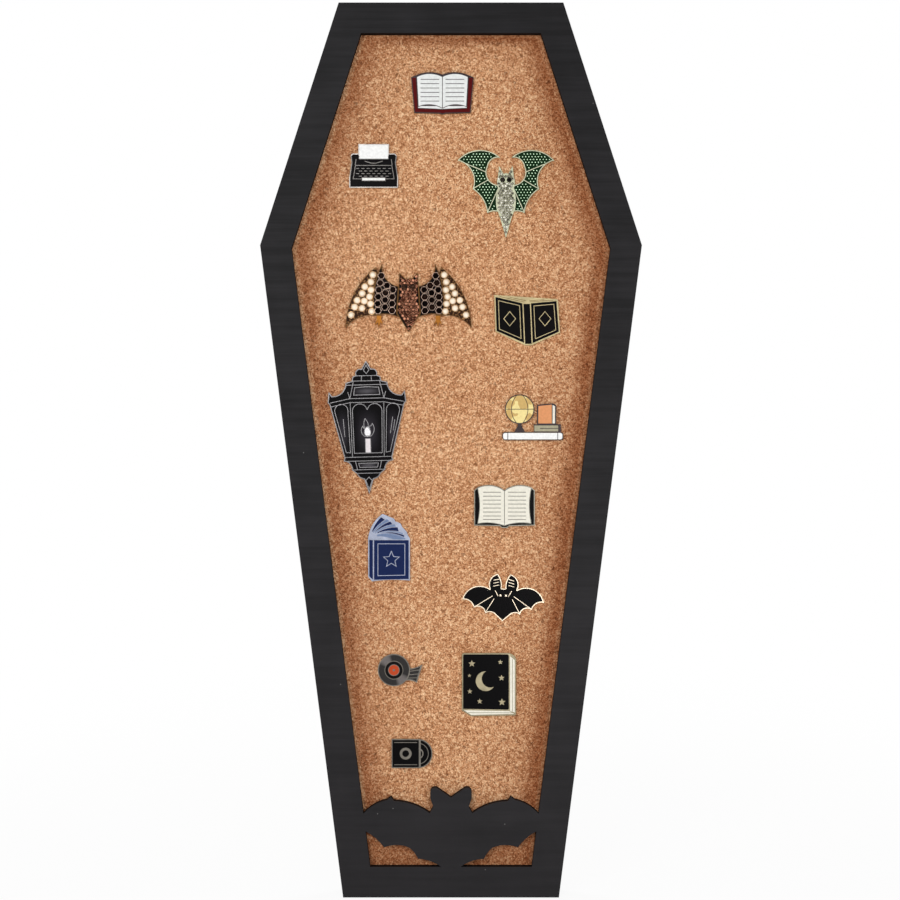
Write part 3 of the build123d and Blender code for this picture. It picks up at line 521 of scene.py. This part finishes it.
def solids_in(node):
    """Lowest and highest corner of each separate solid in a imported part."""
    mesh = bmesh.new()
    mesh.from_mesh(NODES[node].data)
    bmesh.ops.remove_doubles(mesh, verts=mesh.verts, dist=0.01 * MM)
    left = set(mesh.verts)
    corners = []
    while left:
        edge = [left.pop()]
        found = list(edge)
        while edge:
            vertex = edge.pop()
            for link in vertex.link_edges:
                other = link.other_vert(vertex)
                if other in left:
                    left.remove(other)
                    edge.append(other)
                    found.append(other)
        spots = [vertex.co.copy() for vertex in found]
        low = Vector([min(spot[axis] for spot in spots) for axis in range(3)])
        high = Vector([max(spot[axis] for spot in spots) for axis in range(3)])
        corners.append((low, high))
    mesh.free()
    corners.sort(key=lambda pair: (round(pair[0].z, 6), round(pair[0].x, 6)))
    return corners


def ring_of(mesh, middle, radius, rise, count, turn=0.0):
    """Points round a circle that faces the front, at a rise from the seat towards the front."""
    points = []
    for k in range(count):
        angle = turn + 2 * math.pi * k / count
        spot = (middle.x + radius * math.cos(angle), middle.y - rise, middle.z + radius * math.sin(angle))
        points.append(mesh.verts.new(spot))
    return points


def wall(mesh, near, far):
    """Faces between two rings of points."""
    count = len(near)
    return [
        mesh.faces.new((near[k], near[(k + 1) % count], far[(k + 1) % count], far[k]))
        for k in range(count)
    ]


def add_cut_stone(mesh, tone, middle, radius, height, draw, painted_sparkle=0.16):
    """A brilliant-cut top: a table, stars, kites and rim facets, on a straight rim."""
    seat = ring_of(mesh, middle, 0.93 * radius, 0, 16)
    girdle = ring_of(mesh, middle, radius, 0.16 * height, 16)
    crown = ring_of(mesh, middle, 0.82 * radius, 0.62 * height, 8, math.pi / 8)
    table = ring_of(mesh, middle, 0.54 * radius, height, 8)
    # Each facet gets a painted light level, lighter or darker, standing in for glints and reflections in
    # the cut.
    facets = [(face, 0.3) for face in wall(mesh, seat, girdle)]
    facets.append((mesh.faces.new(list(reversed(seat))), 0.2))
    facets.append((mesh.faces.new(table), 0.62))
    for k in range(8):
        after = (k + 1) % 8
        facets.append((mesh.faces.new((table[k], crown[k], table[after])), 0.78 - 0.3 * (k % 2)))
        kite = (table[after], crown[k], girdle[(2 * k + 2) % 16], crown[after])
        facets.append((mesh.faces.new(kite), 0.5 + 0.3 * (k % 2)))
        facets.append((mesh.faces.new((crown[k], girdle[2 * k], girdle[2 * k + 1])), 0.36))
        facets.append((mesh.faces.new((crown[k], girdle[2 * k + 1], girdle[(2 * k + 2) % 16])), 0.56))
    # Painted sparkle: the whole stone is made lighter or darker at random.
    lift = draw.uniform(-painted_sparkle, painted_sparkle)
    for face, level in facets:
        face[tone] = min(1.0, max(0.0, level + lift + draw.uniform(-0.34, 0.34)))


def add_dome(mesh, tone, middle, radius, height, draw, rings=5, count=16):
    """A smooth round top, such as a bead or an uncut stone."""
    last = ring_of(mesh, middle, radius, 0, count)
    faces = [mesh.faces.new(list(reversed(last)))]
    lift = draw.uniform(-0.12, 0.12)
    for k in range(1, rings):
        angle = math.pi / 2 * k / rings
        ring = ring_of(mesh, middle, radius * math.cos(angle), height * math.sin(angle), count)
        faces += wall(mesh, last, ring)
        last = ring
    tip = mesh.verts.new((middle.x, middle.y - height, middle.z))
    faces += [mesh.faces.new((last[k], last[(k + 1) % count], tip)) for k in range(count)]
    # Painted shade: each face is lighter at the top of the dome and darker towards its rim.
    for face in faces:
        share = 1 - (face.calc_center_median() - middle).xz.length / radius
        face[tone] = min(1.0, max(0.0, 0.25 + 0.9 * share + lift))
        face.smooth = True


def add_collar(mesh, middle, inner, outer, height, count):
    """A low metal wall round a stone, with a sloped lip."""
    lip = 0.16 * (outer - inner)
    shoulder = 0.7 * height
    profile = [(outer, 0), (outer, shoulder), (outer - lip, height), (inner + lip, height),
               (inner, shoulder), (inner, 0)]
    rings = [ring_of(mesh, middle, radius, rise, count) for radius, rise in profile]
    for near, far in zip(rings, rings[1:] + rings[:1]):
        wall(mesh, near, far)


def finish_mesh(mesh, name, material, body):
    """A new piece from a mesh, on a body of the board."""
    bmesh.ops.recalc_face_normals(mesh, faces=mesh.faces)
    data = bpy.data.meshes.new(name)
    mesh.to_mesh(data)
    mesh.free()
    data.materials.append(material)
    piece = bpy.data.objects.new(name, data)
    bpy.context.scene.collection.objects.link(piece)
    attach(piece, body)
    return piece


def new_mesh():
    """An empty mesh, and the layer for the painted light tones of its facets."""
    mesh = bmesh.new()
    return mesh, mesh.faces.layers.float.new("tone")


def seats_in(node):
    """Middle of the seat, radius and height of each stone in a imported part."""
    for low, high in solids_in(node):
        middle = Vector(((low.x + high.x) / 2, high.y, (low.z + high.z) / 2))
        yield middle, (high.x - low.x) / 2, high.y - low.y


def set_stones(node, name, material, body, draw, cut=True, share=1.0, painted_sparkle=0.16):
    """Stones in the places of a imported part's solids, in its stead."""
    mesh, tone = new_mesh()
    for middle, radius, height in seats_in(node):
        if cut:
            add_cut_stone(mesh, tone, middle, share * radius, height, draw, painted_sparkle)
        else:
            add_dome(mesh, tone, middle, share * radius, height, draw)
    piece = finish_mesh(mesh, name, material, body)
    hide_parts(node)


def set_collars(node, name, material, body, inner, outer, share, count):
    """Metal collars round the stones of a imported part, as shares of their radius and height."""
    mesh = bmesh.new()
    for middle, radius, height in seats_in(node):
        add_collar(mesh, middle, inner * radius, outer * radius, share * height, count)
    finish_mesh(mesh, name, material, body)


def bead_places(node, pitch, clear):
    """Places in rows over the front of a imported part, a clear distance inside its edges."""
    tree = BVHTree.FromPolygons(
        [vertex.co.copy() for vertex in NODES[node].data.vertices],
        [tuple(face.vertices) for face in NODES[node].data.polygons],
    )
    low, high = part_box(node)
    front = low.y - MM

    def depth(x, z):
        return tree.ray_cast(Vector((x, front, z)), Vector((0, 1, 0)), 3 * MM)[0]

    rise = pitch * math.sqrt(3) / 2
    turns = [math.pi / 3 * k for k in range(6)]
    places = []
    row = 0
    z = low.z
    while z < high.z:
        x = low.x + (row % 2) * pitch / 2
        while x < high.x:
            rim = [depth(x + clear * math.cos(turn), z + clear * math.sin(turn)) for turn in turns]
            seat = depth(x, z)
            if seat is not None and all(rim):
                places.append(seat)
            x += pitch
        z += rise
        row += 1
    return places


def tint(name, description, colour):
    """A colour among the settings."""
    return FloatVectorProperty(
        name=name, description=description, subtype="COLOR", default=colour[:3])


class BoardFinishes(bpy.types.PropertyGroup):
    """Colours and sizes of the board's own finishes."""

    paint_colour: tint("Paint", "Colour of the frame's paint", (0.0098, 0.0092, 0.0102))
    paint_roughness: FloatProperty(
        name="Paint Roughness", description="How matt the paint is", subtype="FACTOR",
        default=0.5, min=0.0, max=1.0)
    granule: FloatProperty(
        name="Granule", description="Width of a large granule of cork", unit="LENGTH",
        default=0.0012, min=0.0005, max=0.01)
    dark_cork: tint("Dark Cork", "Colour of the darkest granules", screen(134, 80, 45))
    mid_cork: tint("Cork", "Colour of most granules", screen(212, 152, 107))
    pale_cork: tint("Pale Cork", "Colour of the palest granules", screen(255, 219, 176))
    bark: tint("Bark", "Colour of bark specks and of the seams between granules", screen(96, 56, 32))
    # The shade reach and edge shade set the cork's painted shade near the frame's walls.
    shade_reach: FloatProperty(
        name="Shade Reach", description="How far the darker stain at the cork's edge reaches in",
        unit="LENGTH", default=0.015, min=0.001, max=0.05)
    edge_shade: FloatProperty(
        name="Edge Shade", description="How strong the stain at the cork's edge is",
        subtype="FACTOR", default=1.0, min=0.0, max=1.0)


class PinFinishes(bpy.types.PropertyGroup):
    """Colours of the pins' metals and enamels, and the size of the beads."""

    gold: tint("Gold", "Colour of the pale gold plate", screen(166, 152, 116))
    pale_gold: tint("Pale Gold", "Colour of the green bat's ribs and rims", screen(176, 178, 152))
    silver: tint("Silver", "Colour of the silver plate", screen(125, 123, 124))
    nickel: tint("Black Nickel", "Colour of the dark plate", screen(54, 47, 48))
    dull: tint("Dull Silver", "Colour of the worn silver plate", screen(118, 113, 105))
    antique: tint("Antique Gold", "Colour of the darkened gold of the jewelled bat", screen(86, 60, 34))
    black: tint("Black Enamel", "Colour of the black enamel", screen(8, 7, 8))
    white: tint("White Enamel", "Colour of the white enamel", screen(246, 246, 244))
    cream: tint("Cream Enamel", "Colour of the cream enamel", screen(236, 232, 218))
    red: tint("Red Enamel", "Colour of the dark red enamel", screen(84, 16, 17))
    green: tint("Green Enamel", "Colour of the green enamel", screen(15, 40, 18))
    blue: tint("Blue Enamel", "Colour of the blue enamel", screen(26, 38, 78))
    bead_radius: FloatProperty(
        name="Bead Radius", description="Radius of the beads on the green wings", unit="LENGTH",
        default=0.0004, min=0.0001, max=0.001)
    bead_pitch: FloatProperty(
        name="Bead Pitch", description="Distance between the beads on the green wings",
        unit="LENGTH", default=0.0016, min=0.0005, max=0.005)
    # The seed picks the painted light levels of the stones' facets.
    seed: IntProperty(
        name="Seed", description="Chooses the tones of the stones' facets", default=7)


class StageSettings(bpy.types.PropertyGroup):
    """The camera, the lights and the floor."""

    distance: FloatProperty(
        name="Camera Distance", description="From the camera to the board's front", unit="LENGTH",
        default=0.95, min=0.3, max=5.0)
    view_width: FloatProperty(
        name="View Width", description="Width of the view at the board's front", unit="LENGTH",
        default=0.4525, min=0.1, max=2.0)
    key: FloatProperty(
        name="Key Light", description="Power of the main light in watts", default=7.4, min=0.0)
    fill: FloatProperty(
        name="Fill Light", description="Power of the low front light in watts", default=1.5,
        min=0.0)
    back: FloatProperty(
        name="Back Lights", description="Power of each light behind the board, in watts",
        default=10.0, min=0.0)
    sky: FloatProperty(
        name="Sky", description="Strength of the even light from all round", subtype="FACTOR",
        default=0.36, min=0.0, max=1.0)


class PINBOARD_OT_paint_frame(bpy.types.Operator):
    """Paint the front, its bat crossbar and the side rails in satin black"""

    bl_idname = "pinboard.paint_frame"
    bl_label = "Paint Frame"

    def execute(self, context):
        settings = context.scene.pinboard_finishes
        upper = math.atan(UPPER_SIDE[1])
        lower = math.atan(LOWER_SIDE[1])
        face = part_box("front_frame")[0].y / MM
        dress(black_paint("black_paint_front", settings, 0, face), "front_frame")
        dress(black_paint("black_paint_ends", settings, 0), "rail_top", "rail_bottom")
        upright = math.pi / 2
        turns = {
            "rail_upper_right": upright - upper,
            "rail_upper_left": upright + upper,
            "rail_lower_right": upright - lower,
            "rail_lower_left": upright + lower,
        }
        for name, turn in turns.items():
            dress(black_paint("black_paint_" + name, settings, turn), name)
        return {"FINISHED"}


class PINBOARD_OT_lay_cork(bpy.types.Operator):
    """Give the panel its pressed cork"""

    bl_idname = "pinboard.lay_cork"
    bl_label = "Lay Cork"

    def execute(self, context):
        dress(cork(context.scene.pinboard_finishes), "cork_panel")
        return {"FINISHED"}


class PINBOARD_OT_finish_back(bpy.types.Operator):
    """Finish the back panel, its screws, the hanger and the rubber pads"""

    bl_idname = "pinboard.finish_back"
    bl_label = "Finish Back"

    def execute(self, context):
        dress(hardboard(), "back_panel")
        dress(zinc(), "back_panel_screws", "sawtooth_hanger", "hanger_nails")
        dress(rubber(), "wall_bumpers")
        return {"FINISHED"}


class PINBOARD_OT_plate_pins(bpy.types.Operator):
    """Plate the metal of every pin in gold, silver or black nickel, and its posts in steel"""

    bl_idname = "pinboard.plate_pins"
    bl_label = "Plate Pins"

    def execute(self, context):
        pins = context.scene.pinboard_pins
        nickel = plated("black_nickel", pins.nickel)
        dull = plated("dull_silver_plate", pins.dull)
        steel = plated("steel_post", screen(196, 196, 196), 0.34)
        plates = {
            "red_book": nickel,
            "shelf": nickel,
            "black_book": plated("gold_plate", pins.gold),
            "little_bat": plated("bright_gold_plate", screen(222, 206, 182)),
            "star_book": self.two_metals("star_book", (-0.7, 1.2, 23.6, 28.6), screen(150, 140, 114), 0.8),
            "record": dull,
            "sleeve": dull,
            "typewriter": self.two_metals("typewriter", (0, -1.2, 24, 12.6), screen(100, 97, 94), 2.6),
            "lantern": plated("silver_plate", pins.silver),
            "white_book": self.two_metals("white_book", (0, 0, 25.4, 16.6), screen(92, 90, 82), 1.7),
            "blue_book": plated("blue_silver_plate", screen(150, 155, 172)),
            "green_bat": plated("pale_gold_plate", pins.pale_gold),
            "jewelled_bat": self.two_golds(pins),
        }
        for pin, metal in plates.items():
            dress(metal, pin + "_plate")
            dress(steel, pin + "_posts")
        return {"FINISHED"}

    def two_metals(self, name, place, colour, rim_share):
        """Lines in a block on a pin in one colour, and all round them lighter or darker."""
        pin = Patches(name, "metals")
        rim = tuple(min(1.0, rim_share * value) for value in colour[:3])
        return plated_surface(pin.finish, pin.at, pin.mixed(rim, (pin.block(*place), colour)))

    def two_golds(self, pins):
        """The jewelled bat's old gold, with brighter feet."""
        bat = Patches("jewelled_bat", "golds")
        feet = (abs(abs(bat.u) - 14.9) < 2.4) * (abs(bat.v + 12.6) < 3.2)
        colour = bat.mixed(pins.antique, (feet, screen(138, 88, 36)))
        return plated_surface(bat.finish, bat.at, colour)


class PINBOARD_OT_enamel_books(bpy.types.Operator):
    """Fill the enamel of the five book pins"""

    bl_idname = "pinboard.enamel_books"
    bl_label = "Enamel Books"

    def execute(self, context):
        pins = context.scene.pinboard_pins
        black = enamel("black_enamel", pins.black)
        cream = enamel("cream_enamel", pins.cream)
        dress(enamel("red_enamel", pins.red), "red_book_cover")
        dress(enamel("blue_enamel", pins.blue), "blue_book_cover")
        dress(enamel("pale_blue_enamel", screen(116, 132, 164)), "blue_book_pages")
        dress(enamel("paper_white_enamel", screen(232, 234, 232)), "red_book_pages")
        dress(black, "white_book_cover", "star_book_cover")
        dress(cream, "white_book_pages", "star_book_pages")
        book = Patches("black_book")
        # The edges of the pages show over both covers.
        fold = -0.8
        left = (book.u < fold) * (book.v > 7.25 - 0.235 * book.u)
        right = (book.u > fold) * (book.v > 7.9 + 0.085 * book.u)
        dress(book.painted(pins.black, (left + right, screen(104, 80, 42))), "black_book_enamel")
        return {"FINISHED"}


class PINBOARD_OT_enamel_typewriter(bpy.types.Operator):
    """Fill the typewriter in black, with a white sheet and space bar"""

    bl_idname = "pinboard.enamel_typewriter"
    bl_label = "Enamel Typewriter"

    def execute(self, context):
        pins = context.scene.pinboard_pins
        machine = Patches("typewriter")
        sheet = machine.block(0, 7.1, 14.7, 7.2)
        space_bar = machine.block(0, -6.7, 11.7, 1.4)
        colours = (sheet.most(space_bar), pins.white)
        dress(machine.painted(pins.black, colours), "typewriter_enamel")
        return {"FINISHED"}


class PINBOARD_OT_enamel_lantern(bpy.types.Operator):
    """Fill the lantern in black, with a pale wax candle"""

    bl_idname = "pinboard.enamel_lantern"
    bl_label = "Enamel Lantern"

    def execute(self, context):
        pins = context.scene.pinboard_pins
        lantern = Patches("lantern", lean=1.5)
        candle = lantern.block(0, -9.3, 2.7, 7.1)
        flame = (((lantern.u + 0.15) / 1.5) ** 2 + ((lantern.v + 2.3) / 2.6) ** 2) < 1
        across = lantern.glow(lantern.u, 0, 7.6).most(lantern.glow(abs(lantern.u), 12.6, 4.0))
        panes = across * lantern.glow(lantern.v, -2.6, 14)
        roof = lantern.glow(lantern.v, 18.2, 2.4) * lantern.glow(lantern.u, 0, 8.5)
        foot = lantern.glow(lantern.v, -19.2, 1.6) * lantern.glow(lantern.u, 0, 6)
        patches = [
            (panes * 0.9, screen(52, 49, 55)),
            (roof.most(foot) * 0.7, screen(96, 93, 98)),
            (candle, screen(228, 220, 222)),
            (flame, screen(246, 244, 246)),
        ]
        dress(lantern.painted(pins.black, *patches), "lantern_enamel")
        return {"FINISHED"}


class PINBOARD_OT_enamel_shelf(bpy.types.Operator):
    """Fill the globe in yellow, the books in orange and sage, and the plank in white"""

    bl_idname = "pinboard.enamel_shelf"
    bl_label = "Enamel Shelf"

    def execute(self, context):
        pins = context.scene.pinboard_pins
        shelf = Patches("shelf")
        land = shelf.finish.noise(shelf.at, 5.5, 1) > 0.53
        colours = [
            (shelf.disc(-6.6, 3.4, 7.4) * land, screen(208, 174, 110)),
            (shelf.block(6.2, 1.0, 7.2, 10.2), screen(222, 152, 104)),
            (shelf.block(10.6, 1.0, 1.4, 10.2), pins.cream),
            (shelf.block(6.8, -6.3, 12.4, 3.4), screen(170, 164, 138)),
            (shelf.block(0, -10.2, 30, 3.2), pins.white),
        ]
        dress(shelf.painted(screen(242, 222, 154), *colours), "shelf_enamel")
        return {"FINISHED"}


class PINBOARD_OT_enamel_records(bpy.types.Operator):
    """Fill the record, its ribbon and the sleeve in black, with an orange-red label"""

    bl_idname = "pinboard.enamel_records"
    bl_label = "Enamel Records"

    def execute(self, context):
        pins = context.scene.pinboard_pins
        record = Patches("record")
        hub = -3.2
        label = record.disc(hub, 0, 2.75)
        band = record.disc(hub, 0, 4.55)
        # Two pale wedges stand for the gleam across the grooves.
        from_hub = record.u - hub
        along = 0.64 * from_hub - 0.77 * record.v
        wedges = record.finish.ease(along ** 2 / (from_hub ** 2 + record.v ** 2), 0.72, 1.0)
        gleam = wedges * record.disc(hub, 0, 8)
        colours = [
            (gleam, screen(112, 106, 104)),
            (band, screen(20, 18, 18)),
            (label, screen(186, 74, 42)),
        ]
        dress(record.painted(screen(52, 50, 49), *colours), "record_enamel")
        dress(enamel("sleeve_enamel", pins.black), "sleeve_enamel")
        return {"FINISHED"}


class PINBOARD_OT_finish_little_bat(bpy.types.Operator):
    """Fill the little bat in black"""

    bl_idname = "pinboard.finish_little_bat"
    bl_label = "Finish Little Bat"

    def execute(self, context):
        dress(enamel("bat_enamel", context.scene.pinboard_pins.black), "little_bat_enamel")
        return {"FINISHED"}


class PINBOARD_OT_finish_green_bat(bpy.types.Operator):
    """Fill the green bat's wings, set their beads and the clear stones of its body"""

    bl_idname = "pinboard.finish_green_bat"
    bl_label = "Finish Green Bat"

    # In millimetres, from the pin's middle
    eye_side = 1.65
    eye_rise = 7.2
    eye_radius = 1.3

    def execute(self, context):
        pins = context.scene.pinboard_pins
        draw = random.Random(pins.seed)
        wings = Patches("green_bat")
        eyes = wings.pair(self.eye_side, self.eye_rise, 1.2)
        dress(wings.painted(pins.green, (eyes, pins.black)), "green_bat_enamel")
        self.set_beads(pins, draw)
        clear = stone_finish(
            "clear_stone", screen(10, 9, 4), screen(104, 98, 80), screen(255, 252, 238))
        set_stones("green_bat_stones", "green_bat_cut_stones", clear,
                   "green_bat_pin", draw, share=0.96, painted_sparkle=0.32)
        collar = plated("collar_gold", screen(104, 96, 70), 0.26)
        set_collars("green_bat_stones", "green_bat_stone_collars", collar, "green_bat_pin",
                    0.92, 1.08, 0.3, 12)
        self.set_eyes(draw)
        return {"FINISHED"}

    def set_beads(self, pins, draw):
        """Gold beads in rows over the wings, and none beside the eyes."""
        mesh, tone = new_mesh()
        across, up = pin_middle("green_bat")
        radius = pins.bead_radius
        for seat in bead_places("green_bat_enamel", pins.bead_pitch, 1.5 * radius):
            by_eyes = abs(seat.z - (up + self.eye_rise) * MM) < self.eye_radius * MM
            if by_eyes and abs(seat.x - across * MM) < 3.0 * MM:
                continue
            add_dome(mesh, tone, seat, radius, 0.6 * radius, draw, rings=3, count=8)
        beads = plated("bead_gold", screen(196, 226, 190), 0.26)
        finish_mesh(mesh, "green_bat_wing_beads", beads, "green_bat_pin")

    def set_eyes(self, draw):
        """Two dark stones on the front of the head."""
        mesh, tone = new_mesh()
        across, up = pin_middle("green_bat")
        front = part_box("green_bat_plate")[0].y
        for side in (-self.eye_side, self.eye_side):
            seat = Vector(((across + side) * MM, front, (up + self.eye_rise) * MM))
            add_cut_stone(mesh, tone, seat, self.eye_radius * MM, 0.9 * MM, draw)
        dark = stone_finish(
            "eye_stone", screen(3, 2, 2), screen(7, 6, 6), screen(60, 54, 48), gloss=0.03)
        finish_mesh(mesh, "green_bat_eye_stones", dark, "green_bat_pin")


class PINBOARD_OT_finish_jewelled_bat(bpy.types.Operator):
    """Set the jewelled bat's black, white and amber stones in gold"""

    bl_idname = "pinboard.finish_jewelled_bat"
    bl_label = "Finish Jewelled Bat"

    def execute(self, context):
        pins = context.scene.pinboard_pins
        draw = random.Random(pins.seed + 1)
        body = "jewelled_bat_pin"
        wings = Patches("jewelled_bat")
        outer = abs(wings.u) > 17.3 - 0.1 * wings.v
        glint = wings.finish.ease(wings.finish.noise(wings.at, 0.9, 3), 0.52, 0.66)
        colours = [(outer, screen(46, 26, 15)), (outer * glint, screen(168, 122, 80))]
        ground = wings.painted(screen(12, 6, 5), *colours)
        dress(ground, "jewelled_bat_enamel")
        black = stone_finish("black_stone", screen(2, 0, 0), screen(5, 1, 1),
                             screen(34, 20, 14), 0.12, gloss=0.02)
        white = pearl_finish("white_stone", screen(252, 236, 214), screen(190, 156, 124))
        set_stones("jewelled_bat_black_stones", "jewelled_bat_dark_stones", black,
                   body, draw, share=0.96)
        set_stones("jewelled_bat_amber_stones", "jewelled_bat_body_stones", self.amber(),
                   body, draw, share=0.98, painted_sparkle=0.2)
        set_stones("jewelled_bat_white_stones", "jewelled_bat_pearls", white,
                   body, draw, cut=False, share=0.98)
        comb = plated("honeycomb_gold", screen(214, 184, 166), 0.26)
        rims = plated("collar_old_gold", pins.antique, 0.26)
        set_collars("jewelled_bat_black_stones", "jewelled_bat_honeycomb", comb, body,
                    1.03, 1.15, 0.9, 6)
        cups = plated("pearl_cup_gold", screen(228, 192, 148), 0.26)
        set_collars("jewelled_bat_white_stones", "jewelled_bat_pearl_cups", cups, body,
                    0.98, 1.16, 0.3, 16)
        set_collars("jewelled_bat_amber_stones", "jewelled_bat_body_collars", rims, body,
                    0.94, 1.04, 0.2, 12)
        return {"FINISHED"}

    def amber(self):
        """Amber cut glass, darker where the eyes are."""
        bat = Patches("jewelled_bat", "amber")
        f = bat.finish
        colour, cloud = stone_colour(
            f, screen(12, 1, 0), screen(77, 27, 13), screen(232, 162, 128))
        colour = f.blend(0.85 * bat.pair(2.1, 5.0, 1.6), colour, screen(14, 8, 10))
        return f.surface(colour, 0.08 + 0.06 * cloud, gloss=0.12, coat=0.05)


class PINBOARD_OT_set_stage(bpy.types.Operator):
    """Set the floor, the white surround, the soft lights and the camera"""

    bl_idname = "pinboard.set_stage"
    bl_label = "Set Stage"

    def execute(self, context):
        stage = context.scene.pinboard_stage
        front, foot = PACKED_BOX[0][1:]
        self.surround(context, stage.sky)
        self.lay_floor(context, foot)
        lights = [
            ("key_light", (-0.45, -1.3, 0.35), 0.5, stage.key),
            ("fill_light", (0.25, -0.75, -0.08), 0.28, stage.fill),
            ("back_light_left", (-1.0, 0.9, 0.5), 0.6, stage.back),
            ("back_light_right", (1.0, 0.9, 0.5), 0.6, stage.back),
        ]
        for name, place, size, power in lights:
            self.add_light(context, name, place, size, power)
        lens = bpy.data.cameras.new("front_camera")
        lens.sensor_width = 36.0
        lens.lens = lens.sensor_width * stage.distance / stage.view_width
        camera = bpy.data.objects.new("front_camera", lens)
        # The board stands half a millimetre to the right of the view's middle.
        camera.location = (-0.5 * MM, front - stage.distance, 0)
        camera.rotation_euler = (math.pi / 2, 0, 0)
        context.scene.collection.objects.link(camera)
        context.scene.camera = camera
        context.scene.view_settings.view_transform = "Standard"
        return {"FINISHED"}

    def surround(self, context, strength):
        """Even light from all round, which the camera sees as white."""
        world = bpy.data.worlds.new("white_surround")
        context.scene.world = world
        f = Finish(world)
        colour = f.blend(self.seen(f), (strength, strength, strength, 1), (1, 1, 1, 1))
        sky = f.node("ShaderNodeBackground", {}, {"Color": colour, "Strength": 1.0})
        f.node("ShaderNodeOutputWorld", {}, {"Surface": sky})

    def seen(self, f):
        """1 for what the camera sees, also in glossy metal and through glass."""
        path = f.node("ShaderNodeLightPath", output="Is Camera Ray").socket.node.outputs
        camera, glossy, through = [
            Signal(f, path[name]) for name in ("Is Camera Ray", "Is Glossy Ray", "Is Transmission Ray")
        ]
        return (camera + glossy + through).least(1)

    def lay_floor(self, context, height):
        """A pale floor under the board, nearly white to the camera but with the shadow on it."""
        reach = 1.6
        mesh = bmesh.new()
        corners = [(-reach, -reach), (reach, -reach), (reach, reach), (-reach, reach)]
        mesh.faces.new([mesh.verts.new((x, y, height)) for x, y in corners])
        data = bpy.data.meshes.new("floor")
        mesh.to_mesh(data)
        mesh.free()
        floor = bpy.data.objects.new("floor", data)
        context.scene.collection.objects.link(floor)
        f = new_finish("pale_floor")
        plain = f.node("ShaderNodeBsdfDiffuse", {}, {"Color": (0.86, 0.86, 0.86, 1)})
        white = f.node("ShaderNodeEmission", {}, {"Color": (1, 1, 1, 1), "Strength": 1.0})
        x, y, _ = f.across(f.place())
        far = f.ease((x ** 2 + y ** 2) ** 0.5, 300, 1100)
        near_share = 0.91
        share = (near_share + (1 - near_share) * far) * self.seen(f)
        mixed = f.node("ShaderNodeMixShader", {}, {0: share, 1: plain, 2: white})
        f.node("ShaderNodeOutputMaterial", {}, {"Surface": mixed})
        data.materials.append(f.owner)

    def add_light(self, context, name, place, size, power):
        """A square soft light that faces the board's middle."""
        lamp = bpy.data.lights.new(name, "AREA")
        lamp.size = size
        lamp.energy = power
        holder = bpy.data.objects.new(name, lamp)
        holder.location = place
        holder.rotation_euler = (-Vector(place)).to_track_quat("-Z", "Y").to_euler()
        holder.visible_camera = False
        context.scene.collection.objects.link(holder)


OPERATORS = (
    PINBOARD_OT_paint_frame,
    PINBOARD_OT_lay_cork,
    PINBOARD_OT_finish_back,
    PINBOARD_OT_plate_pins,
    PINBOARD_OT_enamel_books,
    PINBOARD_OT_enamel_typewriter,
    PINBOARD_OT_enamel_lantern,
    PINBOARD_OT_enamel_shelf,
    PINBOARD_OT_enamel_records,
    PINBOARD_OT_finish_little_bat,
    PINBOARD_OT_finish_green_bat,
    PINBOARD_OT_finish_jewelled_bat,
    PINBOARD_OT_set_stage,
)

SETTINGS = {
    "pinboard_finishes": BoardFinishes,
    "pinboard_pins": PinFinishes,
    "pinboard_stage": StageSettings,
}


class PINBOARD_PT_panel(bpy.types.Panel):
    """Lists the steps and the settings in the 3D view's sidebar"""

    bl_idname = "PINBOARD_PT_panel"
    bl_label = "Pin Board"
    bl_space_type = "VIEW_3D"
    bl_region_type = "UI"
    bl_category = "Pin Board"

    def draw(self, context):
        column = self.layout.column()
        for operator in OPERATORS:
            column.operator(operator.bl_idname)
        for name in SETTINGS:
            group = getattr(context.scene, name)
            for key in group.bl_rna.properties.keys():
                if key not in ("name", "rna_type"):
                    column.prop(group, key)


def register():
    for group in SETTINGS.values():
        bpy.utils.register_class(group)
    for name, group in SETTINGS.items():
        setattr(bpy.types.Scene, name, PointerProperty(type=group))
    for thing in OPERATORS + (PINBOARD_PT_panel,):
        bpy.utils.register_class(thing)


def unregister():
    for thing in reversed(OPERATORS + (PINBOARD_PT_panel,)):
        bpy.utils.unregister_class(thing)
    for name, group in SETTINGS.items():
        delattr(bpy.types.Scene, name)
        bpy.utils.unregister_class(group)


def main():
    """Runs every step."""
    register()
    for operator in OPERATORS:
        getattr(bpy.ops.pinboard, operator.bl_idname.split(".")[1])()


if __name__ == "__main__":
    main()
